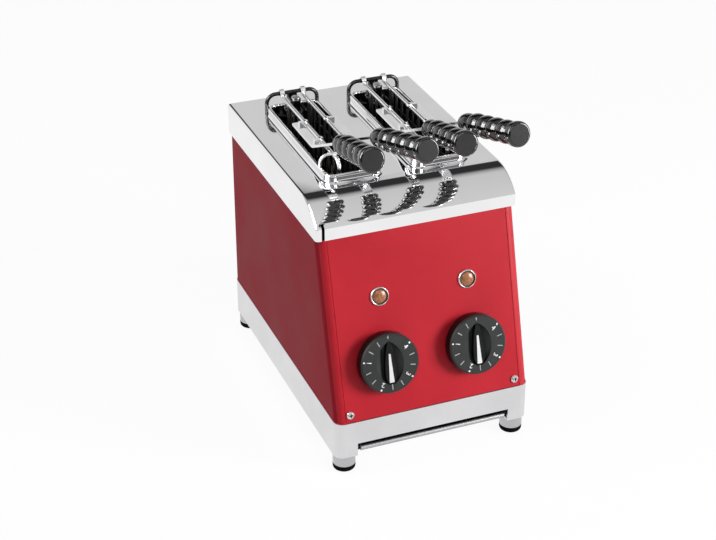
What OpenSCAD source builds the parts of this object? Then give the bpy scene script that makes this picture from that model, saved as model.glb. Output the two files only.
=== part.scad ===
// Two-slot sandwich toaster: leaning front panel with two timer knobs, polished cover with two
// raised slot collars, two lift-out wire tongs with beaded handles, a pull-out crumb tray and
// a skirted base on feet.
// Millimetres. X points right, Y points back, Z points up. The floor is z = 0.

/* [Base] */
// Width of the base skirt
base_w = 200; // [190:1:230]
// Depth of the base skirt
base_d = 305; // [295:1:340]
// Height of the base skirt
base_h = 38; // [34:1:50]
// Sheet thickness of the base skirt
base_t = 2; // [1:0.1:2.5]
// Radius of the skirt's upright corners
base_r = 9; // [6:0.5:12]
// Gap beside the tray in its opening in the skirt
tray_mouth_gap = 3.5; // [2:0.5:4.5]
// Height of the tray opening
tray_mouth_h = 13.5; // [13:0.5:16]

/* [Feet] */
// Height of the feet under the skirt
foot_h = 18; // [14:1:30]
// Diameter of a foot
foot_dia = 22; // [18:1:24]
// Distance from the skirt's outer faces to the middle of a foot
foot_inset = 12; // [11:0.5:13]
// Height of the rubber pad at the bottom of a foot
foot_pad_h = 6; // [4:0.5:8]
// Thread diameter of the foot screws
foot_screw_dia = 6; // [4:0.5:7]

/* [Shell] */
// How far the shell stands inside the skirt's outer face
shell_inset = 0.5; // [0:0.1:1]
// Sheet thickness of the shell
shell_t = 1.2; // [0.8:0.1:2]
// Radius of the shell's folded corners
shell_r = 9; // [5:0.5:12]
// Width of the shell's turned-in front edge
return_w = 9.5; // [8:0.5:14]
// Height of the red body between skirt and cover
panel_rise = 172; // [160:1:200]
// How far the panel leans back over that height
panel_setback = 48; // [40:1:56]

/* [Front panel] */
// Sheet thickness of the front panel
panel_t = 1.5; // [1:0.1:2.5]
// Width of the line between panel and shell
panel_gap = 0.4; // [0.2:0.1:0.8]
// Half distance between the knobs
knob_x = 45; // [38:0.5:50]
// Distance of the knobs up the slope from the skirt
knob_s = 54; // [50:0.5:62]
// Half distance between the pilot lamps
lamp_x = 44.5; // [38:0.5:50]
// Distance of the lamps up the slope from the skirt
lamp_s = 116.5; // [105:0.5:130]
// Distance of the panel screws from the panel's side edges
panel_screw_inset = 4.6; // [4:0.1:7]
// Distance of the panel screws up the slope
panel_screw_s = 8; // [6:0.5:12]

/* [Knobs] */
// Diameter of a timer knob
knob_dia = 58; // [50:1:62]
// Height of the knob's dial face over the panel
knob_h = 13; // [11:0.5:16]
// Length of the pointer ridge
grip_len = 47; // [44:1:49]
// Width of the pointer ridge
grip_w = 11; // [10:0.5:13]
// Width of the two finger hollows together
hollow_w = 27; // [22:0.5:30]
// Diameter of the timer shaft
shaft_dia = 6; // [5:0.5:8]

/* [Cover] */
// Height of the cover's side flange
cover_h = 31; // [27:1:40]
// Sheet thickness of the cover
cover_t = 1.2; // [0.8:0.1:1.8]
// How far the curved front of the cover runs forward
arc_run = 39; // [34:1:44]
// How far the curved front drops
arc_drop = 19; // [16:0.5:22]

/* [Slots] */
// Distance between the middles of the two slots
slot_pitch = 88; // [86:1:92]
// Outer width of a slot collar
collar_w = 56; // [54:1:58]
// Distance from the skirt's front to the slot collars
collar_front = 94.5; // [92:0.5:98]
// Distance from the slot collars to the skirt's back
collar_back = 36.5; // [34:0.5:40]
// Height of a collar over the cover
collar_h = 8; // [6:0.5:10]
// Width of a collar's rounded top
collar_rim = 4; // [3:0.5:5]
// Outer corner radius of a collar
collar_r = 10; // [8:0.5:14]

/* [Heating] */
// Diameter of a quartz heating tube
tube_dia = 10; // [8:0.5:11]
// Distance of the heating tubes from the slot's middle
tube_off = 32; // [31.5:0.5:33]
// Height of the lowest heating tube over the deck
tube_rise = 49; // [44:1:59]
// Distance between heating tubes
tube_pitch = 45; // [40:1:50]
// Distance of the guard wires from the slot's middle
guard_off = 24.5; // [24:0.1:25]
// Distance of the reflectors from the slot's middle
reflector_off = 39; // [38.5:0.5:41]
// Thickness of inner sheet pieces
inner_t = 1.2; // [0.8:0.1:1.6]

/* [Tongs] */
// Half distance between the two jaws of a tong
jaw_off = 11; // [10:0.5:13]
// Height of the jaw's top rod over the cover
rod_rise = 16; // [14:0.5:21]
// Height of the jaw's bottom rod over the deck
rod_low_rise = 36; // [32:1:54]
// Diameter of the jaw's frame rod
rod_dia = 4; // [3:0.5:4]
// Diameter of the jaw's upright wires
wire_dia = 2.4; // [1.6:0.2:3]
// Number of upright wires in a jaw
wire_count = 9; // [5:1:11]
// Width of the strap that joins jaw and handle
strap_w = 9.5; // [8:0.5:11]
// Thickness of the strap
strap_t = 2.4; // [1.6:0.2:3]
// Diameter of the hinge pin
pin_dia = 5; // [4:0.5:6]

/* [Handles] */
// Length of a handle
handle_len = 101; // [92:1:110]
// Outer diameter over the beads
handle_dia = 22; // [20:0.5:23]
// Diameter in the grooves between the beads
groove_dia = 15.5; // [14:0.5:18]
// Number of full beads on a handle
bead_count = 4; // [3:1:5]
// Distance between beads
bead_pitch = 17.8; // [15:0.1:19]
// Diameter of the end disc
disc_dia = 23.5; // [22:0.5:24.5]
// Upward slope of a handle in degrees
handle_slope = 16; // [12:0.1:22]
// Outward splay of a handle in degrees
handle_splay = 4.6; // [4:0.1:7]
// How far a handle's root stands in front of the slot collar
handle_ahead = 10; // [8:1:20]
// Height of a handle's root over the cover
handle_rise = 45.3; // [40:0.1:51]

/* [Crumb tray] */
// Distance from the skirt's outer faces to the crumb tray
tray_inset = 25; // [24:0.5:30]
// Height of the tray's walls
tray_h = 8; // [6:0.5:9]
// Sheet thickness of the tray
tray_t = 1; // [0.8:0.1:1.5]
// Diameter of the rolled front lip
lip_dia = 5; // [4:0.5:6]

/* [Clearances] */
// Gap between pieces that slide or lie loose
loose = 0.3; // [0.2:0.05:0.4]
// Radial gap of a turning fit
running = 0.05; // [0.02:0.01:0.1]

/* [Hidden] */
$fn = 48;
eps = 0.01;
SIDES = [-1, 1];

// Heights of the main layers
base_z0 = foot_h;
base_z1 = base_z0 + base_h;
cover_z0 = base_z1 + panel_rise;
top_z = cover_z0 + cover_h;

// Shell, panel and cover
body_w = base_w - 2 * shell_inset;
body_d = base_d - 2 * shell_inset;
front_y = -body_d / 2;
rear_y = body_d / 2;
lean = atan(panel_setback / panel_rise);
tuck = 9;
shell_z1 = cover_z0 + tuck;
slope_len = (shell_z1 - base_z1) / cos(lean);
panel_w = body_w - 2 * return_w - 2 * panel_gap;
panel_screw_x = panel_w / 2 - panel_screw_inset;
flange_in = 11;
cover_gap = 0.1;
cover_w = body_w + 2 * cover_gap + 2 * cover_t;
cover_y1 = rear_y + cover_gap + cover_t;
cover_y0 = front_y + panel_setback - loose - cover_t;
arc_y = cover_y0 + arc_run;
arc_r = (arc_run * arc_run + arc_drop * arc_drop) / (2 * arc_drop);
cover_screw_inset = 29.5;
cover_screw_x = body_w / 2 - cover_screw_inset;
cover_screw_z = shell_z1 - tuck / 2;

// Slots and heating chamber
slot_x = slot_pitch / 2;
slot_y = (collar_front - collar_back) / 2;
collar_len = base_d - collar_front - collar_back;
collar_z1 = top_z + collar_h;
collar_depth = 13;
collar_z0 = top_z - collar_depth;
collar_in_w = collar_w - 2 * collar_rim;
collar_in_len = collar_len - 2 * collar_rim;
collar_skirt_t = 1.2;
chamber_margin = 4;
chamber_y0 = slot_y - collar_len / 2 - chamber_margin;
chamber_y1 = slot_y + collar_len / 2 + chamber_margin;
reflector_x = slot_x + reflector_off;
TUBE_ROWS = [0, 1, 2];
tube_z = base_z1 + tube_rise;
bush_dia = 16;
bush_len = 8;
bush_neck = 12;
tube_sink = 5;
link_w = 8;
link_t = 1;
guard_dia = 2;
guard_count = 8;
guard_margin = 21;
guard_pitch = (chamber_y1 - chamber_y0 - 2 * guard_margin) / (guard_count - 1);
guard_rise = 10;
guard_low_z = base_z1 + guard_rise;
guard_top_z = collar_z0 - guard_dia;
rest_dia = 6;
rest_y = 2 * guard_pitch;

// Crumb tray and its runners
runner_t = 1.5;
runner_foot = 8;
tray_under = 3.5;
tray_w = base_w - 2 * tray_inset;
tray_mouth_half = tray_w / 2 + tray_mouth_gap;
tray_z0 = base_z0 + tray_under + loose;
tray_back_gap = 12;
tray_y1 = base_d / 2 - base_t - tray_back_gap;
tray_lip_y = -base_d / 2 + lip_dia / 2;
runner_front_gap = 4;
runner_y0 = -base_d / 2 + base_t + runner_front_gap;
deck_t = 2;
deck_z0 = base_z1 - deck_t;

// Controls
neck_dia = 10;
neck_h = 4.5;
nut_h = 3;
nut_af = 14;
timer_w = 44;
timer_depth = 28;
shaft_sink = 12;
knob_gap = 2;
knob_wall = 4;
knob_roof = 4;
hub_dia = 14;
hub_gap = 6;
knob_floor = 2;
shaft_cap = 3;
ridge_over = 1.5;
ridge_low = 10;
hollow_depth = knob_h - hub_gap - knob_floor;
hollow_len = grip_len - 2 * ridge_over;
inlay_len = 28;
inlay_low = 4.5;
inlay_w = 5;
inlay_sink = 0.8;
lamp_dia = 18.5;
lamp_hole = 12.5;
lens_dia = 13;
lamp_flange = 2.5;
lamp_depth = 26;

// Jaws of the tongs
rod_z = top_z + rod_rise;
rod_low_z = base_z1 + rod_low_rise;
rod_bend = 8;
post_dia = rod_dia + 0.8;
jaw_front_gap = 8;
jaw_back_gap = 20;
jaw_y0 = slot_y - collar_in_len / 2 + jaw_front_gap;
jaw_y1 = slot_y + collar_in_len / 2 - jaw_back_gap;
jaw_pitch = (jaw_y1 - jaw_y0) / (wire_count + 1);
ear_dia = 3.4;
ear_sink = 0.6;
ear_bend = 8;
ear_tail = 3;
ear_y = jaw_y0 + rod_bend + ear_tail;
ear_z = rod_z + rod_dia / 2 + ear_dia / 2 - ear_sink;
ear_out = (collar_w - collar_rim) / 2 - jaw_off;

// Bar that carries a tong's hinge and stands on the cover beside the collar's rear corners
hanger_dia = 4;
hanger_bend = 9;
hanger_in = collar_r - (collar_r + hanger_dia / 2 + loose) / sqrt(2);
hanger_half = collar_w / 2 - hanger_in;
hanger_y = slot_y + collar_len / 2 - hanger_in;
hanger_z = rod_z + 3;
eye_dia = 8.2;
eye_hole = 5.6;
eye_w = rod_dia + 0.6;
bracket_w = 10;
bracket_t = 3;
bracket_z = rod_z - 3.5;

// Hinge below the bracket
hinge_gap = 8;
hinge_y = slot_y + collar_in_len / 2 - hinge_gap;
knuckle_dia = pin_dia + 5;
knuckle_h = 6;
leaf_t = 3;
leaf_h = knuckle_h - 1;
pin_head = 2.5;
pin_head_dia = pin_dia + 3;
spring_wire = 1.6;
spring_r = 6;
spring_curls = 2.5;
spring_leg = 9;
spring_room = 10.4;
SPRING_SIDES = 6;
SPRING_RINGS = 8;
hinge_high_z = bracket_z - loose - knuckle_h;
spring_z0 = hinge_high_z - spring_room;
hinge_mid_z = spring_z0 - loose - knuckle_h;
hinge_low_z = hinge_mid_z - loose - knuckle_h;

// Straps, whose clips sit in gaps between the jaw's uprights
function gap_y(share) = jaw_y0 + (floor((wire_count + 1) * share) + 0.5) * jaw_pitch;
CLIPS = [gap_y(0.65), gap_y(0.35)];
clip_len = 4;
clip_wall = 1.6;
clip_tail = 6.3;
strap_x = jaw_off + rod_dia / 2 + loose + strap_w / 2;
strap_y1 = CLIPS[0] + clip_tail;
strap_z = rod_z - 1.5;
strap_bend_r = 14;
BEND_STEPS = 6;
rise_angle = 26;
tang_dia = 7;
tang_len = 60;
handle_root_y = base_d / 2 - collar_front + handle_ahead;
handle_root_z = top_z + handle_rise;

// Run of the strap from the flat stretch up to the handle's root
rise_bends = strap_bend_r * (1 - cos(rise_angle))
    + strap_bend_r * (cos(handle_slope) - cos(rise_angle));
rise_run = (handle_root_z - strap_z - rise_bends) / sin(rise_angle);
rise_forward = strap_bend_r * sin(rise_angle) + rise_run * cos(rise_angle)
    + strap_bend_r * (sin(rise_angle) - sin(handle_slope));
strap_len = strap_y1 + handle_root_y - rise_forward;

// Handles
end_flare = 8;
end_disc_h = 5.5;
end_edge = 0.8;
bead_end = handle_len - end_flare - end_disc_h;
bead_start = bead_end - bead_count * bead_pitch;
root_dia = (handle_dia + groove_dia) / 2;
BEAD_STEPS = 8;
handle_dir_y = cos(handle_slope) * cos(handle_splay);
handle_reach = handle_root_y + handle_len * handle_dir_y
    + disc_dia / 2 * sqrt(1 - handle_dir_y * handle_dir_y);

// Cable inlet, whose end reaches as far back as the knobs or handles reach forward
knob_reach = -front_y - (knob_s - knob_dia / 2) * sin(lean) + knob_h * cos(lean);
front_reach = max(handle_reach, knob_reach);
gland_inset = 39.5;
gland_x = body_w / 2 - gland_inset;
gland_rise = 26;
gland_z = base_z1 + gland_rise;
gland_hole = 16;
gland_bore = 8;
gland_flange = 4;
gland_af = 22;
gland_dome = 18;
block_w = 44;
block_d = 16;
block_h = 20;
vent_w = 50;
vent_h = 4;
vent_pitch = 10;
VENTS = [0, 1, 2, 3];

// Fasteners
screw_head_dia = 7.5;
screw_head_h = 2.4;
screw_dia = 4;
screw_len = 8;
slot_cut_w = 1.1;
slot_cut_h = 1;

// Flat outlines

// Rectangle with four round corners, about the origin
module rounded_rect(w, d, r) {
    square([w - 2 * r, d], center = true);
    square([w, d - 2 * r], center = true);
    for (sx = SIDES, sy = SIDES)
        translate([sx * (w / 2 - r), sy * (d / 2 - r)]) circle(r);
}

// Rectangle from y = 0 to y = d whose two corners at y = 0 are round
module rounded_front(w, d, r) {
    translate([-w / 2, r]) square([w, d - r]);
    translate([-w / 2 + r, 0]) square([w - 2 * r, r + eps]);
    for (sx = SIDES) translate([sx * (w / 2 - r), r]) circle(r);
}

// Hexagon given by the distance across its flats
module hexagon(af) circle(d = af / cos(30), $fn = 6);

// Placing

// Frame on the panel's outer face: x across, y up the slope, z out of the panel
module on_panel(x, s)
    translate([0, front_y, base_z1]) rotate([90 - lean, 0, 0]) translate([x, s, 0]) children();

// Frame with x running forward, y to the right and z up
module facing_front(x, y, z) translate([x, y, z]) rotate([0, 0, -90]) children();

// Frame with z running back
module facing_back(x, y, z) translate([x, y, z]) rotate([-90, 0, 0]) children();

// Cross-head screw with its head above z = 0
module screw(shank) {
    difference() {
        union() {
            cylinder(d = screw_head_dia, h = screw_head_h * 0.5);
            translate([0, 0, screw_head_h * 0.5])
                cylinder(d1 = screw_head_dia, d2 = screw_head_dia * 0.6, h = screw_head_h * 0.5);
        }
        for (turn = [0, 90]) rotate([0, 0, turn]) translate([0, 0, screw_head_h])
            cube([screw_head_dia * 0.5, slot_cut_w, 2 * slot_cut_h], center = true);
    }
    translate([0, 0, -shank]) cylinder(d = screw_dia, h = shank + eps);
}

// Base

module foot_places() {
    for (sx = SIDES, sy = SIDES)
        translate([sx * (base_w / 2 - foot_inset), sy * (base_d / 2 - foot_inset), 0]) children();
}

// Skirt with a plate for the foot in each corner
module base_frame() {
    plate_w = 2 * foot_inset - base_t;
    color("gainsboro") difference() {
        union() {
            translate([0, 0, base_z0]) linear_extrude(base_h) difference() {
                rounded_rect(base_w, base_d, base_r);
                rounded_rect(base_w - 2 * base_t, base_d - 2 * base_t, base_r - base_t);
            }
            translate([0, 0, base_z0]) linear_extrude(base_t) intersection() {
                rounded_rect(base_w - base_t, base_d - base_t, base_r - base_t / 2);
                for (sx = SIDES, sy = SIDES)
                    translate([sx * (base_w - plate_w) / 2, sy * (base_d - plate_w) / 2])
                        square(plate_w, center = true);
            }
        }
        translate([-tray_mouth_half, -base_d / 2 - 1, base_z0 - 1])
            cube([2 * tray_mouth_half, base_t + 1 + eps, tray_mouth_h + 1]);
        foot_places() translate([0, 0, base_z0 - 1])
            cylinder(d = foot_screw_dia + 2 * running, h = base_t + 2);
    }
}

// Deck under the chamber, open below each slot for the crumbs
module base_deck() {
    deck_gap = 2 * base_t;
    color("silver") translate([0, 0, deck_z0]) linear_extrude(deck_t) difference() {
        rounded_rect(base_w - deck_gap, base_d - deck_gap, base_r - base_t);
        for (sx = SIDES) translate([sx * slot_x, slot_y])
            square([collar_in_w, collar_in_len], center = true);
    }
}

module foot_cups() {
    cup_wall = 2;
    color("silver") foot_places() difference() {
        translate([0, 0, foot_pad_h]) cylinder(d = foot_dia, h = foot_h - foot_pad_h);
        translate([0, 0, foot_pad_h - eps]) cylinder(d = foot_dia - 2 * cup_wall, h = cup_wall);
        cylinder(d = foot_screw_dia, h = foot_h + 1);
    }
}

// Rubber pads with a rounded lower edge and a spigot in the cup
module foot_pads() {
    round_r = 3;
    spigot_h = 1.6;
    color("#1c1c1c") foot_places() {
        rotate_extrude() {
            square([foot_dia / 2 - round_r, foot_pad_h]);
            translate([0, round_r]) square([foot_dia / 2, foot_pad_h - round_r]);
            intersection() {
                translate([foot_dia / 2 - round_r, round_r]) circle(round_r);
                square(foot_dia);
            }
        }
        cylinder(d = foot_dia - 5, h = foot_pad_h + spigot_h);
    }
}

module foot_screws() {
    head_h = 3;
    head_af = 10;
    color("darkgray") foot_places() {
        translate([0, 0, base_z0 + base_t]) linear_extrude(head_h) hexagon(head_af);
        translate([0, 0, foot_pad_h + 3])
            cylinder(d = foot_screw_dia, h = base_z0 + base_t + eps - foot_pad_h - 3);
    }
}

// Shell and front panel

// Block with the shell's outline, drawn in by a sheet thickness, from z0 to z1
module shell_block(inset, z0, z1) {
    w = body_w - 2 * inset;
    r = shell_r - inset;
    long = 2 * body_d;
    intersection() {
        translate([0, rear_y - inset, z0]) mirror([0, 1, 0])
            linear_extrude(z1 - z0) rounded_front(w, long, r);
        on_panel(0, -long / 2) translate([0, 0, -inset]) rotate([-90, 0, 0])
            linear_extrude(2 * long) rounded_front(w, long, r);
    }
}

// Sides and back in one sheet, turned in at the front, with a set-back flange behind the panel
module body_shell() {
    window_w = body_w - 2 * return_w;
    color("firebrick") difference() {
        union() {
            difference() {
                shell_block(0, base_z1, shell_z1);
                shell_block(shell_t, base_z1 - 1, shell_z1 + 1);
                on_panel(-window_w / 2, -slope_len) translate([0, 0, -panel_t - eps])
                    cube([window_w, 3 * slope_len, 4 * panel_t]);
            }
            intersection() {
                shell_block(shell_t / 2, base_z1, shell_z1);
                for (sx = SIDES) on_panel(sx * window_w / 2, slope_len / 2) mirror([sx < 0 ? 1 : 0, 0, 0]) {
                    translate([-flange_in, -slope_len, -panel_t - shell_t])
                        cube([flange_in + return_w / 2, 2 * slope_len, shell_t]);
                    translate([0, -slope_len, -panel_t - shell_t])
                        cube([return_w / 2, 2 * slope_len, panel_t + shell_t / 2]);
                }
            }
        }
        for (sx = SIDES) on_panel(sx * panel_screw_x, panel_screw_s)
            cylinder(d = screw_dia, h = 8 * panel_t, center = true);
        facing_back(gland_x, rear_y - 2 * shell_t, gland_z) cylinder(d = gland_hole, h = 4 * shell_t);
        for (sx = SIDES) facing_back(sx * cover_screw_x, rear_y - 2 * shell_t, cover_screw_z)
            cylinder(d = screw_dia, h = 4 * shell_t);
        for (row = VENTS)
            translate([-vent_w / 2, rear_y - 2 * shell_t, cover_z0 - 20 - row * vent_pitch])
                cube([vent_w, 4 * shell_t, vent_h]);
    }
}

// Plain bare panel with holes for timers, lamps and two screws
module front_panel() {
    edge = 0.6;
    color("crimson") difference() {
        on_panel(-panel_w / 2, edge) translate([0, 0, -panel_t])
            cube([panel_w, slope_len - 2 * edge, panel_t]);
        for (sx = SIDES) {
            on_panel(sx * knob_x, knob_s) cylinder(d = neck_dia, h = 4 * panel_t, center = true);
            on_panel(sx * lamp_x, lamp_s) cylinder(d = lamp_hole, h = 4 * panel_t, center = true);
            on_panel(sx * panel_screw_x, panel_screw_s)
                cylinder(d = screw_dia, h = 4 * panel_t, center = true);
        }
    }
}

// Cover and collars

// Side outline of the cover, drawn in by a sheet thickness, with its foot at height z0
module cover_outline(inset, z0) {
    translate([arc_y, z0]) square([cover_y1 - inset - arc_y, top_z - inset - z0]);
    intersection() {
        translate([arc_y, top_z - arc_r]) circle(arc_r - inset, $fn = 128);
        translate([cover_y0 + inset, z0]) square([arc_run - inset + eps, top_z - z0]);
    }
}

// Block with the cover's side outline, across the width w
module cover_block(w, inset, z0)
    translate([-w / 2, 0, 0]) rotate([90, 0, 90]) linear_extrude(w) cover_outline(inset, z0);

module top_cover() {
    color("lightgray") difference() {
        cover_block(cover_w, 0, cover_z0);
        cover_block(cover_w - 2 * cover_t, cover_t, cover_z0 - 1);
        for (sx = SIDES) translate([sx * slot_x, slot_y, top_z - 2 * cover_t])
            linear_extrude(4 * cover_t)
                rounded_rect(collar_in_w + 2 * collar_skirt_t + loose,
                    collar_in_len + 2 * collar_skirt_t + loose, collar_r - collar_rim + collar_skirt_t);
        for (sx = SIDES) facing_back(sx * cover_screw_x, rear_y - cover_t, cover_screw_z)
            cylinder(d = screw_dia, h = 4 * cover_t);
    }
}

// The alike screws of the front panel and of the cover's back flange
module case_screws() {
    color("silver") for (sx = SIDES) {
        on_panel(sx * panel_screw_x, panel_screw_s) screw(screw_len);
        facing_back(sx * cover_screw_x, cover_y1, cover_screw_z) screw(screw_len);
    }
}

// Round bar laid along a rounded rectangle, about the origin
module bar_ring(w, d, r, dia) {
    for (s = SIDES) {
        translate([s * w / 2, 0, 0]) rotate([90, 0, 0]) cylinder(d = dia, h = d - 2 * r, center = true);
        translate([0, s * d / 2, 0]) rotate([0, 90, 0]) cylinder(d = dia, h = w - 2 * r, center = true);
    }
    for (turn = [0 : 3]) {
        side_x = (turn == 0 || turn == 3) ? 1 : -1;
        side_y = turn < 2 ? 1 : -1;
        translate([side_x * (w / 2 - r), side_y * (d / 2 - r), 0]) rotate([0, 0, 90 * turn])
            rotate_extrude(angle = 90) translate([r, 0]) circle(d = dia);
    }
}

// Raised rim round a slot, with a thin skirt down through the cover
module slot_collar(side) {
    in_r = collar_r - collar_rim;
    bead_z = collar_z1 - collar_rim / 2;
    color("whitesmoke") translate([side * slot_x, slot_y, 0]) {
        translate([0, 0, top_z]) linear_extrude(bead_z - top_z) difference() {
            rounded_rect(collar_w, collar_len, collar_r);
            rounded_rect(collar_in_w, collar_in_len, in_r);
        }
        translate([0, 0, collar_z0]) linear_extrude(top_z - collar_z0 + eps) difference() {
            rounded_rect(collar_in_w + 2 * collar_skirt_t, collar_in_len + 2 * collar_skirt_t,
                in_r + collar_skirt_t);
            rounded_rect(collar_in_w, collar_in_len, in_r);
        }
        translate([0, 0, bead_z])
            bar_ring(collar_w - collar_rim, collar_len - collar_rim, collar_r - collar_rim / 2, collar_rim);
    }
}
module slot_collar_left() slot_collar(-1);
module slot_collar_right() slot_collar(1);

// Heating chamber

module tube_places(y) {
    for (sx = SIDES, st = SIDES, row = TUBE_ROWS)
        translate([sx * slot_x + st * tube_off, y, tube_z + row * tube_pitch]) children();
}

// Cross wall at one end of the chamber, drilled for the heater bushes
module bulkhead(y) {
    w = 2 * (reflector_x + inner_t);
    color("darkgray") difference() {
        translate([-w / 2, y, base_z1]) cube([w, inner_t, collar_z0 - base_z1]);
        tube_places(y - 1) rotate([-90, 0, 0]) cylinder(d = bush_neck, h = inner_t + 2);
    }
}
module bulkhead_front() bulkhead(chamber_y0 - inner_t);
module bulkhead_rear() bulkhead(chamber_y1);

module reflector(x, t) {
    color("silver") translate([x - t / 2, chamber_y0, base_z1])
        cube([t, chamber_y1 - chamber_y0, collar_z0 - base_z1]);
}
module reflector_left() reflector(-reflector_x - inner_t / 2, inner_t);
module reflector_center() reflector(0, 2 * inner_t);
module reflector_right() reflector(reflector_x + inner_t / 2, inner_t);

// Three heating tubes, one above the other
module heater(x) {
    reach = inner_t + tube_sink;
    color("lightyellow") for (row = TUBE_ROWS)
        facing_back(x, chamber_y0 - reach, tube_z + row * tube_pitch)
            cylinder(d = tube_dia, h = chamber_y1 - chamber_y0 + 2 * reach);
}
module heater_left_outer() heater(-slot_x - tube_off);
module heater_left_inner() heater(-slot_x + tube_off);
module heater_right_inner() heater(slot_x - tube_off);
module heater_right_outer() heater(slot_x + tube_off);

// Ceramic bush with a neck in the bulkhead and a blind bore for the tube
module bush() {
    difference() {
        union() {
            cylinder(d = bush_dia, h = bush_len);
            translate([0, 0, -inner_t]) cylinder(d = bush_neck, h = inner_t + eps);
        }
        translate([0, 0, -inner_t - 1]) cylinder(d = tube_dia, h = inner_t + tube_sink + 1);
    }
}
module heater_bushes() {
    color("linen") {
        tube_places(chamber_y0 - inner_t) rotate([90, 0, 0]) bush();
        tube_places(chamber_y1 + inner_t) rotate([-90, 0, 0]) bush();
    }
}

// Strips that join the three tubes of a bank outside the bushes
module heater_links() {
    strip_h = 2 * tube_pitch + link_w;
    color("goldenrod") for (sx = SIDES, st = SIDES)
        translate([sx * slot_x + st * tube_off - link_w / 2, 0, tube_z - link_w / 2]) {
            translate([0, chamber_y0 - inner_t - bush_len - link_t, 0]) cube([link_w, link_t, strip_h]);
            translate([0, chamber_y1 + inner_t + bush_len, 0]) cube([link_w, link_t, strip_h]);
        }
}

// Wire screen between a slot and its heating tubes
module guard(x) {
    color("lightgray") {
        for (z = [guard_low_z, guard_top_z])
            facing_back(x, chamber_y0, z) cylinder(d = guard_dia, h = chamber_y1 - chamber_y0);
        for (i = [0 : guard_count - 1])
            translate([x, slot_y + (i - (guard_count - 1) / 2) * guard_pitch, guard_low_z])
                cylinder(d = guard_dia * 0.8, h = guard_top_z - guard_low_z);
    }
}
module guard_left_outer() guard(-slot_x - guard_off);
module guard_left_inner() guard(-slot_x + guard_off);
module guard_right_inner() guard(slot_x - guard_off);
module guard_right_outer() guard(slot_x + guard_off);

// Cross bars that the tongs stand on
module tong_rests() {
    z = rod_low_z - rod_dia / 2 - loose - rest_dia / 2;
    bar_x = inner_t;
    color("silver") for (sx = SIDES, sy = SIDES)
        translate([sx * (bar_x + reflector_x) / 2, slot_y + sy * rest_y, z]) rotate([0, 90, 0])
            cylinder(d = rest_dia, h = reflector_x - bar_x, center = true);
}

// Timers, lamps and mains inlet

// Clockwork body behind the panel with a threaded neck through it
module timer(side) {
    color("dimgray") on_panel(side * knob_x, knob_s) difference() {
        union() {
            translate([-timer_w / 2, -timer_w / 2, -panel_t - timer_depth])
                cube([timer_w, timer_w, timer_depth]);
            translate([0, 0, -panel_t - eps]) cylinder(d = neck_dia, h = panel_t + neck_h);
        }
        translate([0, 0, -shaft_sink - loose])
            cylinder(d = shaft_dia + 2 * running, h = shaft_sink + 2 * neck_h);
    }
}
module timer_left() timer(-1);
module timer_right() timer(1);

module timer_nuts() {
    color("goldenrod") for (sx = SIDES) on_panel(sx * knob_x, knob_s)
        linear_extrude(nut_h) difference() {
            hexagon(nut_af);
            circle(d = neck_dia);
        }
}

// Bright ring with a domed edge that holds the lens
module lamp_bezels() {
    lip = 1.2;
    color("silver") for (sx = SIDES) on_panel(sx * lamp_x, lamp_s) difference() {
        union() {
            cylinder(d = lamp_dia, h = lip);
            translate([0, 0, lip])
                cylinder(d1 = lamp_dia, d2 = lens_dia + 2 * lip, h = lamp_flange - lip);
        }
        translate([0, 0, -1]) cylinder(d = lens_dia, h = lamp_flange + 2);
    }
}

// Amber lens with a shallow crown
module lamp_lenses() {
    crown = 1;
    ball_r = (lens_dia * lens_dia / 4 + crown * crown) / (2 * crown);
    color("orange") for (sx = SIDES) on_panel(sx * lamp_x, lamp_s) {
        cylinder(d = lens_dia, h = lamp_flange - crown);
        translate([0, 0, lamp_flange - crown]) intersection() {
            cylinder(d = lens_dia, h = 2 * crown);
            translate([0, 0, crown - ball_r]) sphere(r = ball_r);
        }
    }
}

module lamp_bodies() {
    color("#2a2a2a") for (sx = SIDES) on_panel(sx * lamp_x, lamp_s)
        translate([0, 0, -lamp_depth]) cylinder(d = lamp_hole, h = lamp_depth);
}

module terminal_block() {
    screw_count = 3;
    step = block_w / screw_count;
    color("ivory") difference() {
        translate([-block_w / 2, rear_y - shell_t - block_d, gland_z - block_h / 2])
            cube([block_w, block_d, block_h]);
        for (i = [0 : screw_count - 1])
            translate([(i - 1) * step, rear_y - shell_t - block_d / 2, gland_z])
                cylinder(d = screw_dia, h = block_h);
    }
}

// Cable inlet: hexagon outside the back wall, turned nose, threaded neck through the wall
module cable_gland() {
    nose_len = front_reach - rear_y - gland_flange;
    neck_len = 9;
    color("#222222") facing_back(gland_x, rear_y, gland_z) difference() {
        union() {
            linear_extrude(gland_flange) hexagon(gland_af);
            translate([0, 0, gland_flange - eps]) cylinder(d = gland_dome, h = nose_len * 0.6);
            translate([0, 0, gland_flange + nose_len * 0.6 - 2 * eps])
                cylinder(d1 = gland_dome, d2 = gland_dome * 0.75, h = nose_len * 0.4 + 2 * eps);
            translate([0, 0, -neck_len]) cylinder(d = gland_hole, h = neck_len + eps);
        }
        translate([0, 0, -neck_len - 1]) cylinder(d = gland_bore, h = neck_len + front_reach);
    }
}

module gland_nut() {
    nut_len = 5;
    color("#222222") facing_back(gland_x, rear_y - shell_t - nut_len, gland_z)
        linear_extrude(nut_len) difference() {
            hexagon(gland_af);
            circle(d = gland_hole);
        }
}

// Crumb tray

// Hanging angles that carry the tray's edges
module tray_runners() {
    inner_x = tray_w / 2 + loose;
    len = base_d / 2 - base_t - runner_y0;
    color("silver") for (sx = SIDES) mirror([sx < 0 ? 1 : 0, 0, 0]) {
        translate([inner_x, runner_y0, base_z0 + tray_under - runner_t])
            cube([runner_t, len, deck_z0 - base_z0 - tray_under + runner_t]);
        translate([inner_x + runner_t - runner_foot, runner_y0, base_z0 + tray_under - runner_t])
            cube([runner_foot, len, runner_t]);
    }
}

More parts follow.
